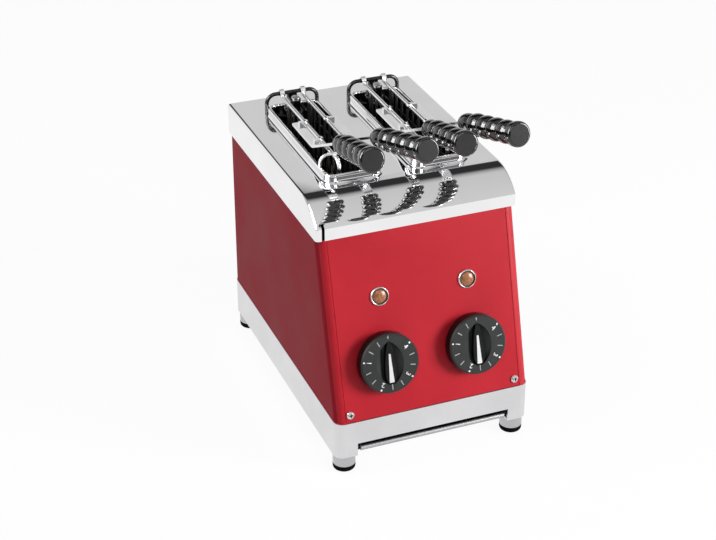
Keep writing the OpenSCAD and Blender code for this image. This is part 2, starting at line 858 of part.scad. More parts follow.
// Shallow tray with a rolled front lip
module crumb_tray() {
    front = tray_lip_y;
    len = tray_y1 - front;
    front_h = lip_dia;
    color("silver") {
        difference() {
            translate([-tray_w / 2, front, tray_z0]) cube([tray_w, len, tray_h]);
            translate([-tray_w / 2 + tray_t, front + tray_t, tray_z0 + tray_t])
                cube([tray_w - 2 * tray_t, len - 2 * tray_t, tray_h]);
            translate([-tray_w / 2 - 1, front - 1, tray_z0 + front_h - eps])
                cube([tray_w + 2, tray_t + 5, tray_h]);
        }
        translate([0, front, tray_z0 + lip_dia / 2]) rotate([0, 90, 0])
            cylinder(d = lip_dia, h = tray_w, center = true);
    }
}

// Knobs

// Leaf outline with its long way along y
module leaf(len, w) {
    r = (len * len / 4 + w * w / 4) / w;
    intersection() {
        translate([r - w / 2, 0]) circle(r, $fn = 96);
        translate([w / 2 - r, 0]) circle(r, $fn = 96);
    }
}

// Pointer outline, widest a little below the middle
module ridge_outline() {
    up = grip_len / 2 + ridge_low;
    down = grip_len / 2 - ridge_low;
    translate([0, -ridge_low]) {
        intersection() {
            leaf(2 * up, grip_w);
            translate([-grip_w, 0]) square([2 * grip_w, up]);
        }
        intersection() {
            leaf(2 * down, grip_w);
            translate([-grip_w, -down]) square([2 * grip_w, down + eps]);
        }
    }
}

// Tapered outline of the pale inlay
module inlay_outline() {
    translate([0, -inlay_low]) polygon([[-inlay_w / 2, -inlay_len / 2], [inlay_w / 2, -inlay_len / 2],
        [inlay_w / 5, inlay_len / 2], [-inlay_w / 5, inlay_len / 2]]);
}

// Finger hollows that fall from the dial face towards the ridge
module hollows() {
    low = knob_h - hollow_depth;
    difference() {
        intersection() {
            translate([0, 0, low]) linear_extrude(hollow_depth + eps) leaf(hollow_len, hollow_w);
            rotate([90, 0, 0]) linear_extrude(grip_len, center = true)
                polygon([[-grip_w / 2, low], [grip_w / 2, low], [hollow_w / 2, knob_h], [hollow_w / 2, knob_h + 1],
                    [-hollow_w / 2, knob_h + 1], [-hollow_w / 2, knob_h]]);
        }
        translate([0, 0, low - 1]) linear_extrude(hollow_depth + 2) ridge_outline();
    }
}

// Dial with a hub for the shaft and a pointer ridge between two finger hollows
module knob(side) {
    chamfer = 1.5;
    roof_z = knob_h - knob_roof;
    color("#333436") on_panel(side * knob_x, knob_s) difference() {
        union() {
            rotate_extrude() {
                polygon([[0, roof_z], [knob_dia / 2 - knob_wall, roof_z],
                    [knob_dia / 2 - knob_wall, knob_gap], [knob_dia / 2, knob_gap],
                    [knob_dia / 2, knob_h - chamfer], [knob_dia / 2 - chamfer, knob_h], [0, knob_h]]);
                translate([0, hub_gap]) square([hub_dia / 2, roof_z - hub_gap + eps]);
            }
            translate([0, 0, hub_gap]) linear_extrude(roof_z - hub_gap + eps) leaf(hollow_len, hollow_w);
        }
        hollows();
        translate([0, 0, hub_gap - 1]) cylinder(d = shaft_dia, h = 1 + knob_h - shaft_cap - hub_gap);
        translate([0, 0, knob_h - inlay_sink]) linear_extrude(2 * inlay_sink) inlay_outline();
    }
}
module knob_left() knob(-1);
module knob_right() knob(1);

module knob_inlay(side) {
    color("white") on_panel(side * knob_x, knob_s)
        translate([0, 0, knob_h - inlay_sink]) linear_extrude(inlay_sink) inlay_outline();
}
module knob_inlay_left() knob_inlay(-1);
module knob_inlay_right() knob_inlay(1);

module timer_shaft(side) {
    color("silver") on_panel(side * knob_x, knob_s)
        translate([0, 0, -shaft_sink]) cylinder(d = shaft_dia, h = shaft_sink + knob_h - shaft_cap);
}
module timer_shaft_left() timer_shaft(-1);
module timer_shaft_right() timer_shaft(1);

// Tongs

// Bent bar with a bracket in its middle that holds the riveted hinge pin
module tong_hanger(side) {
    leg_z = top_z + loose;
    corner_x = hanger_half - hanger_bend;
    corner_z = hanger_z - hanger_bend;
    low = hinge_low_z - loose;
    high = bracket_z + bracket_t;
    color("dimgray") translate([side * slot_x, 0, 0]) {
        translate([0, hanger_y, 0]) {
            translate([0, 0, hanger_z]) rotate([0, 90, 0])
                cylinder(d = hanger_dia, h = 2 * corner_x, center = true);
            for (s = SIDES) mirror([s < 0 ? 1 : 0, 0, 0]) {
                translate([hanger_half, 0, leg_z]) cylinder(d = hanger_dia, h = corner_z - leg_z);
                translate([corner_x, 0, corner_z]) rotate([90, 0, 0]) rotate_extrude(angle = 90)
                    translate([hanger_bend, 0]) circle(d = hanger_dia);
            }
            translate([-bracket_w / 2, -bracket_t / 2, bracket_z])
                cube([bracket_w, bracket_t, hanger_z - bracket_z]);
        }
        translate([-bracket_w / 2, hinge_y, bracket_z])
            cube([bracket_w, hanger_y - hinge_y, bracket_t]);
        translate([0, hinge_y, 0]) {
            translate([0, 0, bracket_z]) cylinder(d = bracket_w + 1, h = bracket_t);
            translate([0, 0, low - pin_head]) cylinder(d = pin_dia, h = high - low + pin_head);
            translate([0, 0, low - pin_head]) cylinder(d = pin_head_dia, h = pin_head);
            translate([0, 0, high - bracket_t / 2]) cylinder(d = pin_head_dia, h = bracket_t / 2 + pin_head);
        }
    }
}
module left_tong_hanger() tong_hanger(-1);
module right_tong_hanger() tong_hanger(1);

// Middle line of the spring: two straight legs and the curls between them
spring_pitch = (hinge_high_z - spring_z0 - 2 * loose - spring_wire) / spring_curls;
spring_steps = spring_curls * SPRING_RINGS;
function curl_point(turn) = [spring_r * cos(turn), spring_r * sin(turn),
    spring_z0 + loose + spring_wire / 2 + spring_pitch * turn / 360];
SPRING_TURNS = [for (i = [0 : spring_steps]) 360 * i / SPRING_RINGS];
SPRING_LINE = concat(
    [curl_point(0) - [0, spring_leg, 0]],
    [for (turn = SPRING_TURNS) curl_point(turn)],
    [curl_point(360 * spring_curls) - [0, spring_leg, 0]]);
SPRING_SPIN = concat([0], SPRING_TURNS, [360 * spring_curls]);

// Least gap between points that lie half a curl or more apart along the wire
SPRING_LAST = len(SPRING_LINE) - 1;
spring_gap = min([for (i = [0 : SPRING_LAST], j = [i + SPRING_RINGS / 2 : 1 : SPRING_LAST])
    norm(SPRING_LINE[i] - SPRING_LINE[j])]) - spring_wire;
echo("least gap between the spring's curls", spring_gap);

// Ring of points round the wire at one place of its middle line
function wire_ring(place, spin) = [for (k = [0 : SPRING_SIDES - 1])
    let (a = 360 * k / SPRING_SIDES)
    place + spring_wire / 2 * [cos(a) * cos(spin), cos(a) * sin(spin), sin(a)]];

// Triangles of a closed tube of rings with the given number of sides
function tube_faces(rings, sides) = concat(
    [for (i = [0 : rings - 2], j = [0 : sides - 1]) let (k = (j + 1) % sides)
        [i * sides + j, i * sides + k, (i + 1) * sides + k]],
    [for (i = [0 : rings - 2], j = [0 : sides - 1]) let (k = (j + 1) % sides)
        [i * sides + j, (i + 1) * sides + k, (i + 1) * sides + j]],
    [for (j = [1 : sides - 2]) [0, j + 1, j]],
    [for (j = [1 : sides - 2]) let (e = (rings - 1) * sides) [e, e + j, e + j + 1]]);

// Torsion spring round the pin, its legs between the jaws
module tong_spring(side) {
    rings = len(SPRING_LINE);
    points = [for (i = [0 : rings - 1]) each wire_ring(SPRING_LINE[i], SPRING_SPIN[i])];
    color("gray") translate([side * slot_x, hinge_y, 0])
        polyhedron(points = points, faces = tube_faces(rings, SPRING_SIDES));
}
module left_tong_spring() tong_spring(-1);
module right_tong_spring() tong_spring(1);

// Bar from the hinge to the jaw's rear post, with the knuckle round the pin
module hinge_leaf(jaw, z) {
    reach = hinge_y - jaw_y1;
    span = norm([jaw_off, reach]);
    translate([0, hinge_y, z]) {
        difference() {
            union() {
                cylinder(d = knuckle_dia, h = knuckle_h);
                rotate([0, 0, atan2(-reach, jaw * jaw_off)])
                    translate([0, -leaf_t / 2, (knuckle_h - leaf_h) / 2]) cube([span, leaf_t, leaf_h]);
            }
            translate([0, 0, -1]) cylinder(d = pin_dia + 2 * running, h = knuckle_h + 2);
        }
    }
}

// Quarter bend of the frame rod in the jaw's plane, about the point (y, z)
module rod_corner(y, z, turn)
    translate([0, y, z]) rotate([0, 90, 0]) rotate([0, 0, turn]) rotate_extrude(angle = 90)
        translate([rod_bend, 0]) circle(d = rod_dia);

// Top rod of a jaw, ending in an eye round the hanger
module eyed_rod() {
    difference() {
        union() {
            facing_back(0, jaw_y0 + rod_bend, rod_z)
                cylinder(d = rod_dia, h = hanger_y - hanger_dia / 2 - jaw_y0 - rod_bend);
            translate([0, hanger_y, hanger_z]) rotate([0, 90, 0])
                cylinder(d = eye_dia, h = eye_w, center = true);
        }
        translate([0, hanger_y, hanger_z]) rotate([0, 90, 0])
            cylinder(d = eye_hole, h = 2 * eye_w, center = true);
    }
}

// Bent wire that hangs the jaw on the collar's side, towards +x
module ear() {
    leg_z = collar_z1 + loose;
    translate([-ear_tail, ear_y, ear_z]) rotate([0, 90, 0])
        cylinder(d = ear_dia, h = ear_tail + ear_out - ear_bend);
    translate([ear_out - ear_bend, ear_y, ear_z - ear_bend]) rotate([90, 0, 0])
        rotate_extrude(angle = 90) translate([ear_bend, 0]) circle(d = ear_dia);
    translate([ear_out, ear_y, leg_z]) cylinder(d = ear_dia, h = ear_z - ear_bend - leg_z);
}

// Wire jaw: frame rod with bent front corners, upright wires, ear, and hinge leaves at the back
module tong_grid(side, jaw) {
    leaves = jaw < 0 ? [hinge_low_z, hinge_high_z] : [hinge_mid_z];
    post_z0 = rod_low_z - post_dia / 2;
    run = jaw_y1 - jaw_y0 - rod_bend;
    color("silver") translate([side * slot_x, 0, 0]) {
        translate([jaw * jaw_off, 0, 0]) {
            eyed_rod();
            facing_back(0, jaw_y0 + rod_bend, rod_low_z) cylinder(d = rod_dia, h = run);
            translate([0, jaw_y1, post_z0]) cylinder(d = post_dia, h = rod_z - 1 - post_z0);
            translate([0, jaw_y0, rod_low_z + rod_bend])
                cylinder(d = rod_dia, h = rod_z - rod_low_z - 2 * rod_bend);
            rod_corner(jaw_y0 + rod_bend, rod_z - rod_bend, 180);
            rod_corner(jaw_y0 + rod_bend, rod_low_z + rod_bend, 270);
            for (i = [1 : wire_count])
                translate([0, jaw_y0 + i * jaw_pitch, rod_low_z])
                    cylinder(d = wire_dia, h = rod_z - rod_low_z);
            mirror([jaw < 0 ? 1 : 0, 0, 0]) ear();
        }
        for (z = leaves) hinge_leaf(jaw, z);
    }
}
module left_tong_grid_l() tong_grid(-1, -1);
module left_tong_grid_r() tong_grid(-1, 1);
module right_tong_grid_l() tong_grid(1, -1);
module right_tong_grid_r() tong_grid(1, 1);

// One long edge of the strap's side outline: forward, up, over two bends of the middle line
function strap_edge(out) =
    let (rise_start = [strap_len, 0] + strap_bend_r * [sin(rise_angle), 1 - cos(rise_angle)])
    let (rise_end = rise_start + rise_run * [cos(rise_angle), sin(rise_angle)])
    concat(
        [[0, out]],
        [for (i = [0 : BEND_STEPS]) let (a = rise_angle * i / BEND_STEPS)
            [strap_len, 0] + strap_bend_r * [sin(a), 1 - cos(a)] + out * [-sin(a), cos(a)]],
        [for (i = [0 : BEND_STEPS]) let (a = rise_angle + (handle_slope - rise_angle) * i / BEND_STEPS)
            rise_end + strap_bend_r * [sin(rise_angle) - sin(a), cos(a) - cos(rise_angle)]
                + out * [-sin(a), cos(a)]]);
STRAP_OUTLINE = let (top = strap_edge(strap_t / 2), low = strap_edge(-strap_t / 2), last = len(top) - 1)
    concat(top, [for (i = [0 : last]) low[last - i]]);

// Strap clipped to the jaw's rod, bent up in front and ending in the handle's tang
module tong_arm(side, jaw) {
    rod_gap = strap_x - jaw_off;
    clip_d = rod_dia + 2 * clip_wall;
    block_top = rod_z + rod_dia / 2 + clip_wall / 2;
    color("lightgray") {
        facing_front(side * slot_x + jaw * strap_x, strap_y1, strap_z) {
            translate([0, strap_w / 2, 0]) rotate([90, 0, 0]) linear_extrude(strap_w) polygon(STRAP_OUTLINE);
            translate([strap_y1 + handle_root_y, 0, handle_root_z - strap_z])
                rotate([0, 0, jaw * handle_splay]) rotate([0, 90 - handle_slope, 0])
                    translate([0, 0, -strap_t]) cylinder(d = tang_dia, h = tang_len + strap_t);
        }
        for (y = CLIPS) translate([side * slot_x + jaw * jaw_off, y, 0]) difference() {
            union() {
                facing_back(0, -clip_len / 2, rod_z) cylinder(d = clip_d, h = clip_len);
                translate([jaw > 0 ? 0 : -rod_gap, -clip_len / 2, strap_z])
                    cube([rod_gap, clip_len, block_top - strap_z]);
            }
            facing_back(0, -clip_len, rod_z) cylinder(d = rod_dia, h = 2 * clip_len);
        }
    }
}
module left_tong_arm_l() tong_arm(-1, -1);
module left_tong_arm_r() tong_arm(-1, 1);
module right_tong_arm_l() tong_arm(1, -1);
module right_tong_arm_r() tong_arm(1, 1);

// Points of a bead's half outline from z0 to z1, with its crest in the middle
function bead_points(z0, z1, crest_dia) =
    let (rise = (crest_dia - groove_dia) / 2, half = (z1 - z0) / 2)
    let (arc = (half * half + rise * rise) / (2 * rise))
    [for (i = [0 : BEAD_STEPS]) let (along = half * (2 * i / BEAD_STEPS - 1))
        [crest_dia / 2 - arc + sqrt(arc * arc - along * along), z0 + half + along]];

// Half outline of the handle along z: a small root bead, the full beads and the flared end disc
HANDLE_OUTLINE = concat(
    [[0, 0]],
    bead_points(0, bead_start, root_dia),
    [for (i = [0 : bead_count - 1], j = [1 : BEAD_STEPS])
        bead_points(bead_start + i * bead_pitch, bead_start + (i + 1) * bead_pitch, handle_dia)[j]],
    [[disc_dia / 2, bead_end + end_flare], [disc_dia / 2, handle_len - end_edge],
        [disc_dia / 2 - end_edge, handle_len], [0, handle_len]]);

// Black turned handle, bored for the tang
module tong_handle(side, jaw) {
    color("#161616")
        translate([side * slot_x + jaw * strap_x, -handle_root_y, handle_root_z])
            rotate([0, 0, -90 + jaw * handle_splay]) rotate([0, -handle_slope, 0]) rotate([0, 90, 0])
                difference() {
                    rotate_extrude() polygon(HANDLE_OUTLINE);
                    translate([0, 0, -1]) cylinder(d = tang_dia, h = tang_len + 1);
                }
}
module left_tong_handle_l() tong_handle(-1, -1);
module left_tong_handle_r() tong_handle(-1, 1);
module right_tong_handle_l() tong_handle(1, -1);
module right_tong_handle_r() tong_handle(1, 1);

base_frame();
base_deck();
foot_cups();
foot_pads();
foot_screws();
body_shell();
front_panel();
top_cover();
case_screws();
slot_collar_left();
slot_collar_right();
bulkhead_front();
bulkhead_rear();
reflector_left();
reflector_center();
reflector_right();
heater_left_outer();
heater_left_inner();
heater_right_inner();
heater_right_outer();
heater_bushes();
heater_links();
guard_left_outer();
guard_left_inner();
guard_right_inner();
guard_right_outer();
tong_rests();
timer_left();
timer_right();
timer_nuts();
lamp_bezels();
lamp_lenses();
lamp_bodies();
terminal_block();
cable_gland();
gland_nut();
tray_runners();
knob_left();
knob_inlay_left();
timer_shaft_left();
knob_right();
knob_inlay_right();
timer_shaft_right();
crumb_tray();
left_tong_hanger();
left_tong_spring();
left_tong_grid_l();
left_tong_arm_l();
left_tong_handle_l();
left_tong_grid_r();
left_tong_arm_r();
left_tong_handle_r();
right_tong_hanger();
right_tong_spring();
right_tong_grid_l();
right_tong_arm_l();
right_tong_handle_l();
right_tong_grid_r();
right_tong_arm_r();
right_tong_handle_r();
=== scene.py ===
"""Looks of the two-slot tong toaster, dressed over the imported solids, in metres."""

import logging
import math
from dataclasses import dataclass
from enum import Enum
from typing import Callable, Sequence

import bmesh
import bpy
from mathutils import Matrix, Vector


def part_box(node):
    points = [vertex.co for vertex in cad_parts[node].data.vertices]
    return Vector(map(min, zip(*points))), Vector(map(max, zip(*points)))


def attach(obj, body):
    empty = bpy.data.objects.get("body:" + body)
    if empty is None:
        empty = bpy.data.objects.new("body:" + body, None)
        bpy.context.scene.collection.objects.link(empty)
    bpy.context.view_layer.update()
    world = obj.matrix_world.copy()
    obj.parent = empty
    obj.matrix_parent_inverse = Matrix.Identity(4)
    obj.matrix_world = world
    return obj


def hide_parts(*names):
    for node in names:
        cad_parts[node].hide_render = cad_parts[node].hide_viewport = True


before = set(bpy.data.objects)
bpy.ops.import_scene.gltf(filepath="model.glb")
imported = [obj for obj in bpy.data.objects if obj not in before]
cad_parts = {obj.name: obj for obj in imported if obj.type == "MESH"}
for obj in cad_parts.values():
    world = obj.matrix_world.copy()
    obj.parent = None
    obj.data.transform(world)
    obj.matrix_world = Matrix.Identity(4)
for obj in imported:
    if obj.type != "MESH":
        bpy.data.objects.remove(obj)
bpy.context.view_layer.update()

MM = 0.001
Pair = tuple[float, float]
Pairs = tuple[Pair, ...]
Triple = tuple[float, float, float]
Piece = bpy.types.Object
Material = bpy.types.Material
Socket = bpy.types.NodeSocket
FaceTest = Callable[[Vector, Vector], bool]
EdgeTest = Callable[[Vector, Vector, float], bool]
log = logging.getLogger("toaster")


class Named(Enum):
    """Choice whose name is part of the pieces' names."""

    @property
    def word(self) -> str:
        """Name as the pieces carry it."""
        return self.name.lower()


class Side(Named):
    """Left or right, seen from the front."""

    LEFT = -1
    RIGHT = 1


class Jaw(Named):
    """The two halves of a tong."""

    L = -1
    R = 1


# Finishes


class Tree:
    """Nodes and links of a material or of the sky."""

    def __init__(self, owner: Material | bpy.types.World) -> None:
        """Start the node tree of a material or world."""
        owner.use_nodes = True
        self.nodes, self.links = owner.node_tree.nodes, owner.node_tree.links

    def feed(self, node: bpy.types.Node, key: str | int, value: object) -> None:
        """Set or link one socket of a node.

        Args:
            node: Node that is fed.
            key: Name or number of its socket.
            value: A plain value, or the socket that it comes from.
        """
        if isinstance(value, Socket):
            self.links.new(value, node.inputs[key])
        else:
            node.inputs[key].default_value = value

    def add(self, kind: str, inputs: dict[str | int, object] | None = None, **settings: str) -> bpy.types.Node:
        """Add a node.

        Args:
            kind: Blender's name of the node, without its prefix.
            inputs: Value or source of each named or numbered socket.
            settings: Values of the node itself.

        Returns:
            The node.
        """
        node = self.nodes.new("ShaderNode" + kind)
        for key, value in settings.items():
            setattr(node, key, value)
        for key, value in (inputs or {}).items():
            self.feed(node, key, value)
        return node


class Shader(Tree):
    """Principled finish, patterned on object coordinates."""

    RAMP: Pair = (0.35, 0.65)

    def __init__(self, name: str, **sockets: float) -> None:
        """Start a principled material.

        Args:
            name: Name of the material.
            sockets: Values for the shader's own sockets, named with underscores.
        """
        self.material = bpy.data.materials.new(name)
        super().__init__(self.material)
        self.bsdf = self.nodes["Principled BSDF"]
        self.place = self.add("TexCoord").outputs["Object"]
        for socket, value in sockets.items():
            self.feed(self.bsdf, socket.replace("_", " ").title().replace("Ior", "IOR"), value)

    def noise(self, scale: float, detail: float, stretch: Triple = (1.0, 1.0, 1.0)) -> Socket:
        """Noise over the piece, by cells per metre, octaves and a scale along each axis for brushed directions."""
        place = self.add("Mapping", {"Vector": self.place, "Scale": stretch}).outputs["Vector"]
        return self.add("TexNoise", {"Vector": place, "Scale": scale, "Detail": detail}).outputs["Fac"]

    def cells(self, scale: float) -> Socket:
        """Random colour per small cell, as of metal flakes, at a number of cells per metre."""
        return self.add("TexVoronoi", {"Vector": self.place, "Scale": scale}).outputs["Color"]

    def spread(self, source: Socket, low: float, high: float, start: float = 0.3, stop: float = 0.7) -> Socket:
        """Map a pattern, from its start to its stop, to values from low to high."""
        ends = {"From Min": start, "From Max": stop, "To Min": low, "To Max": high}
        return self.add("MapRange", {"Value": source, **ends}).outputs["Result"]

    def ramp(self, source: Socket, *colours: Triple) -> Socket:
        """Colour that runs between two colours with a pattern.

        Args:
            source: Pattern from 0 to 1.
            colours: Colour at the pattern's low places and at its high ones.

        Returns:
            The colour socket.
        """
        ramp = self.add("ValToRGB", {"Fac": source})
        for element, place, colour in zip(ramp.color_ramp.elements, self.RAMP, colours):
            element.position, element.color = place, (*colour, 1.0)
        return ramp.outputs["Color"]

    def blend(self, factor: Socket, under: Socket, over: Socket) -> Socket:
        """Mix two colours by the upper one's share."""
        return self.add("Mix", {"Factor": factor, "A": under, "B": over}, data_type="RGBA").outputs["Result"]

    def finished(self, colour: Socket, rough: Socket, height: Socket, depth: float, strength: float) -> Material:
        """Let patterns drive the shader.

        Args:
            colour: Base colour.
            rough: Roughness.
            height: Pattern of the relief.
            depth: Depth of the relief in metres.
            strength: Share of the relief that shows.

        Returns:
            The material.
        """
        bump = self.add("Bump", {"Height": height, "Distance": depth, "Strength": strength}).outputs["Normal"]
        for key, source in (("Base Color", colour), ("Roughness", rough), ("Normal", bump)):
            self.feed(self.bsdf, key, source)
        return self.material


def shades(colour: Triple, factors: Pair) -> list[Triple]:
    """Lighten or darken a linear colour by each of two factors."""
    return [tuple(min(1.0, c * factor) for c in colour) for factor in factors]


def around(value: float, factors: Pair) -> list[float]:
    """Multiply a roughness by each of two factors, up to one."""
    return [min(1.0, value * factor) for factor in factors]


@dataclass(frozen=True)
class Metal:
    """Bare, plated or polished metal with slow stains and a fine grain."""

    name: str
    colour: Triple
    rough_low: float
    rough_high: float
    grain: float = 900.0
    stretch: Triple = (1.0, 1.0, 1.0)
    depth: float = 0.01 * MM
    stain: float = 0.92
    stain_scale: float = 22.0
    octaves: float = 4.0
    relief: float = 0.35

    def make(self) -> Material:
        """Build the finish.

        Returns:
            The material.
        """
        shader = Shader(self.name, metallic=1.0)
        slow = shader.noise(self.stain_scale, self.octaves)
        fine = shader.noise(self.grain, self.octaves, self.stretch)
        colour = shader.ramp(slow, *shades(self.colour, (self.stain, 1.0)))
        rough = shader.spread(fine, self.rough_low, self.rough_high)
        return shader.finished(colour, rough, fine, self.depth, self.relief)


@dataclass(frozen=True)
class Paint:
    """Satin metallic paint: flakes in the colour, a soft orange peel and a clear coat."""

    name: str
    colour: Triple
    roughness: float
    coat: float = 0.06
    bend: float = 1.3
    coat_rough: float = 0.3
    cloud_scale: float = 14.0
    plain: Pair = (0.93, 1.05)
    bright: Pair = (1.15, 1.25)
    flake_scale: float = 2600.0
    flake_share: float = 0.35
    flake_start: float = 0.4
    matt: Pair = (0.9, 1.12)
    peel_scale: float = 420.0
    peel_depth: float = 0.02 * MM
    relief: float = 0.25

    def make(self) -> Material:
        """Build the finish.

        Returns:
            The material.
        """
        shader = Shader(self.name, coat_weight=self.coat, coat_roughness=self.coat_rough, ior=self.bend)
        cloud = shader.noise(self.cloud_scale, 3.0)
        flakes = shader.spread(shader.cells(self.flake_scale), 0.0, self.flake_share, self.flake_start, 1.0)
        plain, bright = (shader.ramp(cloud, *shades(self.colour, pair)) for pair in (self.plain, self.bright))
        rough = shader.spread(cloud, *around(self.roughness, self.matt))
        peel = shader.noise(self.peel_scale, 2.0)
        return shader.finished(shader.blend(flakes, plain, bright), rough, peel, self.peel_depth, self.relief)


@dataclass(frozen=True)
class Moulding:
    """Moulded plastic, rubber, ceramic or print, with a grain and a little dust."""

    name: str
    colour: Triple
    roughness: float
    grain: float = 1400.0
    depth: float = 0.03 * MM
    dust: float = 1.25
    coat: float = 0.0
    bend: float = 1.5
    coat_rough: float = 0.06
    dust_scale: float = 60.0
    matt: Pair = (0.85, 1.2)
    relief: float = 0.4

    def make(self) -> Material:
        """Build the finish.

        Returns:
            The material.
        """
        shader = Shader(self.name, coat_weight=self.coat, coat_roughness=self.coat_rough, ior=self.bend)
        slow = shader.noise(self.dust_scale, 4.0)
        fine = shader.noise(self.grain, 3.0)
        colour = shader.ramp(slow, *shades(self.colour, (1.0, self.dust)))
        rough = shader.spread(fine, *around(self.roughness, self.matt))
        return shader.finished(colour, rough, fine, self.depth, self.relief)


@dataclass(frozen=True)
class Glazing:
    """Clear or tinted lens and tube material with a cloudy body."""

    name: str
    colour: Triple
    core: Triple
    roughness: float
    scale: float
    coat: float = 0.6
    coat_rough: float = 0.05
    matt: Pair = (0.8, 1.3)
    depth: float = 0.08 * MM
    relief: float = 0.35

    def make(self) -> Material:
        """Build the finish.

        Returns:
            The material.
        """
        shader = Shader(self.name, coat_weight=self.coat, coat_roughness=self.coat_rough)
        rings = shader.noise(self.scale, 2.0)
        colour = shader.ramp(rings, self.colour, self.core)
        rough = shader.spread(rings, *around(self.roughness, self.matt))
        return shader.finished(colour, rough, rings, self.depth, self.relief)


class Palette:
    """All finishes of the toaster."""

    def __init__(self) -> None:
        """Build each finish once."""
        fine, flat = 0.01 * MM, 0.004 * MM
        self.satin = Metal("satin_steel", (0.70, 0.70, 0.71), 0.30, 0.42, 1600.0, depth=0.015 * MM).make()
        self.mirror = Metal("mirror_steel", (0.86, 0.86, 0.87), 0.035, 0.075, 700.0, (0.15, 1.0, 1.0),
                            0.002 * MM, 0.96).make()
        self.rim = Metal("polished_rim", (0.84, 0.84, 0.85), 0.06, 0.11, depth=flat).make()
        self.wire = Metal("chromed_wire", (0.94, 0.94, 0.95), 0.22, 0.34, 1200.0, stain=0.9).make()
        self.strap = Metal("bright_strap", (0.96, 0.96, 0.97), 0.10, 0.16, 500.0, (1.0, 0.12, 1.0),
                           0.006 * MM).make()
        # Near-black steel for the screw recesses, the chamber's sheets, the deck and the runners: painted shade where
        # little light reaches.
        self.dark_steel = Metal("heat_dark_steel", (0.055, 0.052, 0.05), 0.38, 0.60, 700.0, stain=0.6).make()
        # Dark wire for the guards and the tongs' wire down in the slots: painted shade.
        self.dark_wire = Metal("heat_dark_wire", (0.11, 0.105, 0.10), 0.30, 0.50, stain=0.6).make()
        self.hinge = Metal("dark_hinge", (0.06, 0.06, 0.062), 0.18, 0.30, stain=0.7).make()
        self.sheet = Metal("rolled_sheet", (0.58, 0.58, 0.59), 0.22, 0.36, 800.0, (0.1, 1.0, 1.0)).make()
        # The tray's lip is a darker copy of its steel: painted shade.
        self.lip = Metal("tray_lip", (0.44, 0.44, 0.45), 0.36, 0.44, 1400.0, depth=flat).make()
        # The feet's cups are darker than the skirt: partly their own aluminium, partly painted shade under the skirt's
        # edge.
        self.foot = Metal("foot_aluminium", (0.50, 0.50, 0.51), 0.24, 0.36, 1600.0).make()
        self.zinc = Metal("zinc_screw", (0.66, 0.65, 0.63), 0.20, 0.34, 1800.0).make()
        self.brass = Metal("brass_strip", (0.72, 0.52, 0.22), 0.25, 0.4, stain=0.75).make()
        self.panel = Paint("panel_red", (0.46, 0.009, 0.020), 0.42).make()
        # The shell's red is a darker copy of the panel red: painted shade on the shell's sides.
        self.shell = Paint("shell_red_painted_shade", (0.35, 0.008, 0.021), 0.50, 0.03, 1.14).make()
        self.handle = Moulding("handle_black", (0.003, 0.003, 0.0032), 0.10, 300.0, fine, 1.5, 0.5).make()
        self.handle_face = Moulding("handle_face", (0.022, 0.022, 0.023), 0.60, 1500.0, bend=1.3).make()
        self.dial = Moulding("dial_charcoal", (0.020, 0.0212, 0.0214), 0.50, 2200.0, 0.05 * MM, bend=1.34).make()
        # Black for the dial's ridge, and painted shade on the dial's outer wall.
        self.grip = Moulding("grip_black", (0.004, 0.004, 0.004), 0.30, 1200.0, bend=1.3).make()
        self.inlay = Moulding("inlay_white", (0.70, 0.70, 0.69), 0.32, 900.0, fine, 1.08).make()
        self.print = Moulding("print_white", (0.78, 0.78, 0.77), 0.5, 2500.0, fine, 1.06).make()
        self.stroke = Moulding("print_grey", (0.40, 0.40, 0.395), 0.5, 2500.0, fine, 1.06).make()
        # Dark brown for the lamp ring's inner slope: painted shade.
        self.gasket = Moulding("lamp_gasket", (0.045, 0.022, 0.014), 0.45, 900.0, fine, 1.2).make()
        # Near-black rubber for the feet, also painted on the shell under the cover as painted shade in the seam.
        self.rubber = Moulding("foot_rubber_and_seam_shade", (0.004, 0.004, 0.004), 0.80, 900.0, 0.06 * MM, bend=1.12).make()
        self.black = Moulding("black_moulding", (0.02, 0.02, 0.021), 0.42, 1100.0).make()
        self.ceramic = Moulding("bush_ceramic", (0.62, 0.57, 0.49), 0.62, 800.0, 0.05 * MM).make()
        self.amber = Glazing("amber_lens", (0.26, 0.085, 0.028), (0.40, 0.15, 0.055), 0.26, 420.0, 0.2).make()
        self.quartz = Glazing("quartz_tube", (0.30, 0.27, 0.24), (0.50, 0.45, 0.40), 0.25, 120.0).make()


# The modelling bench


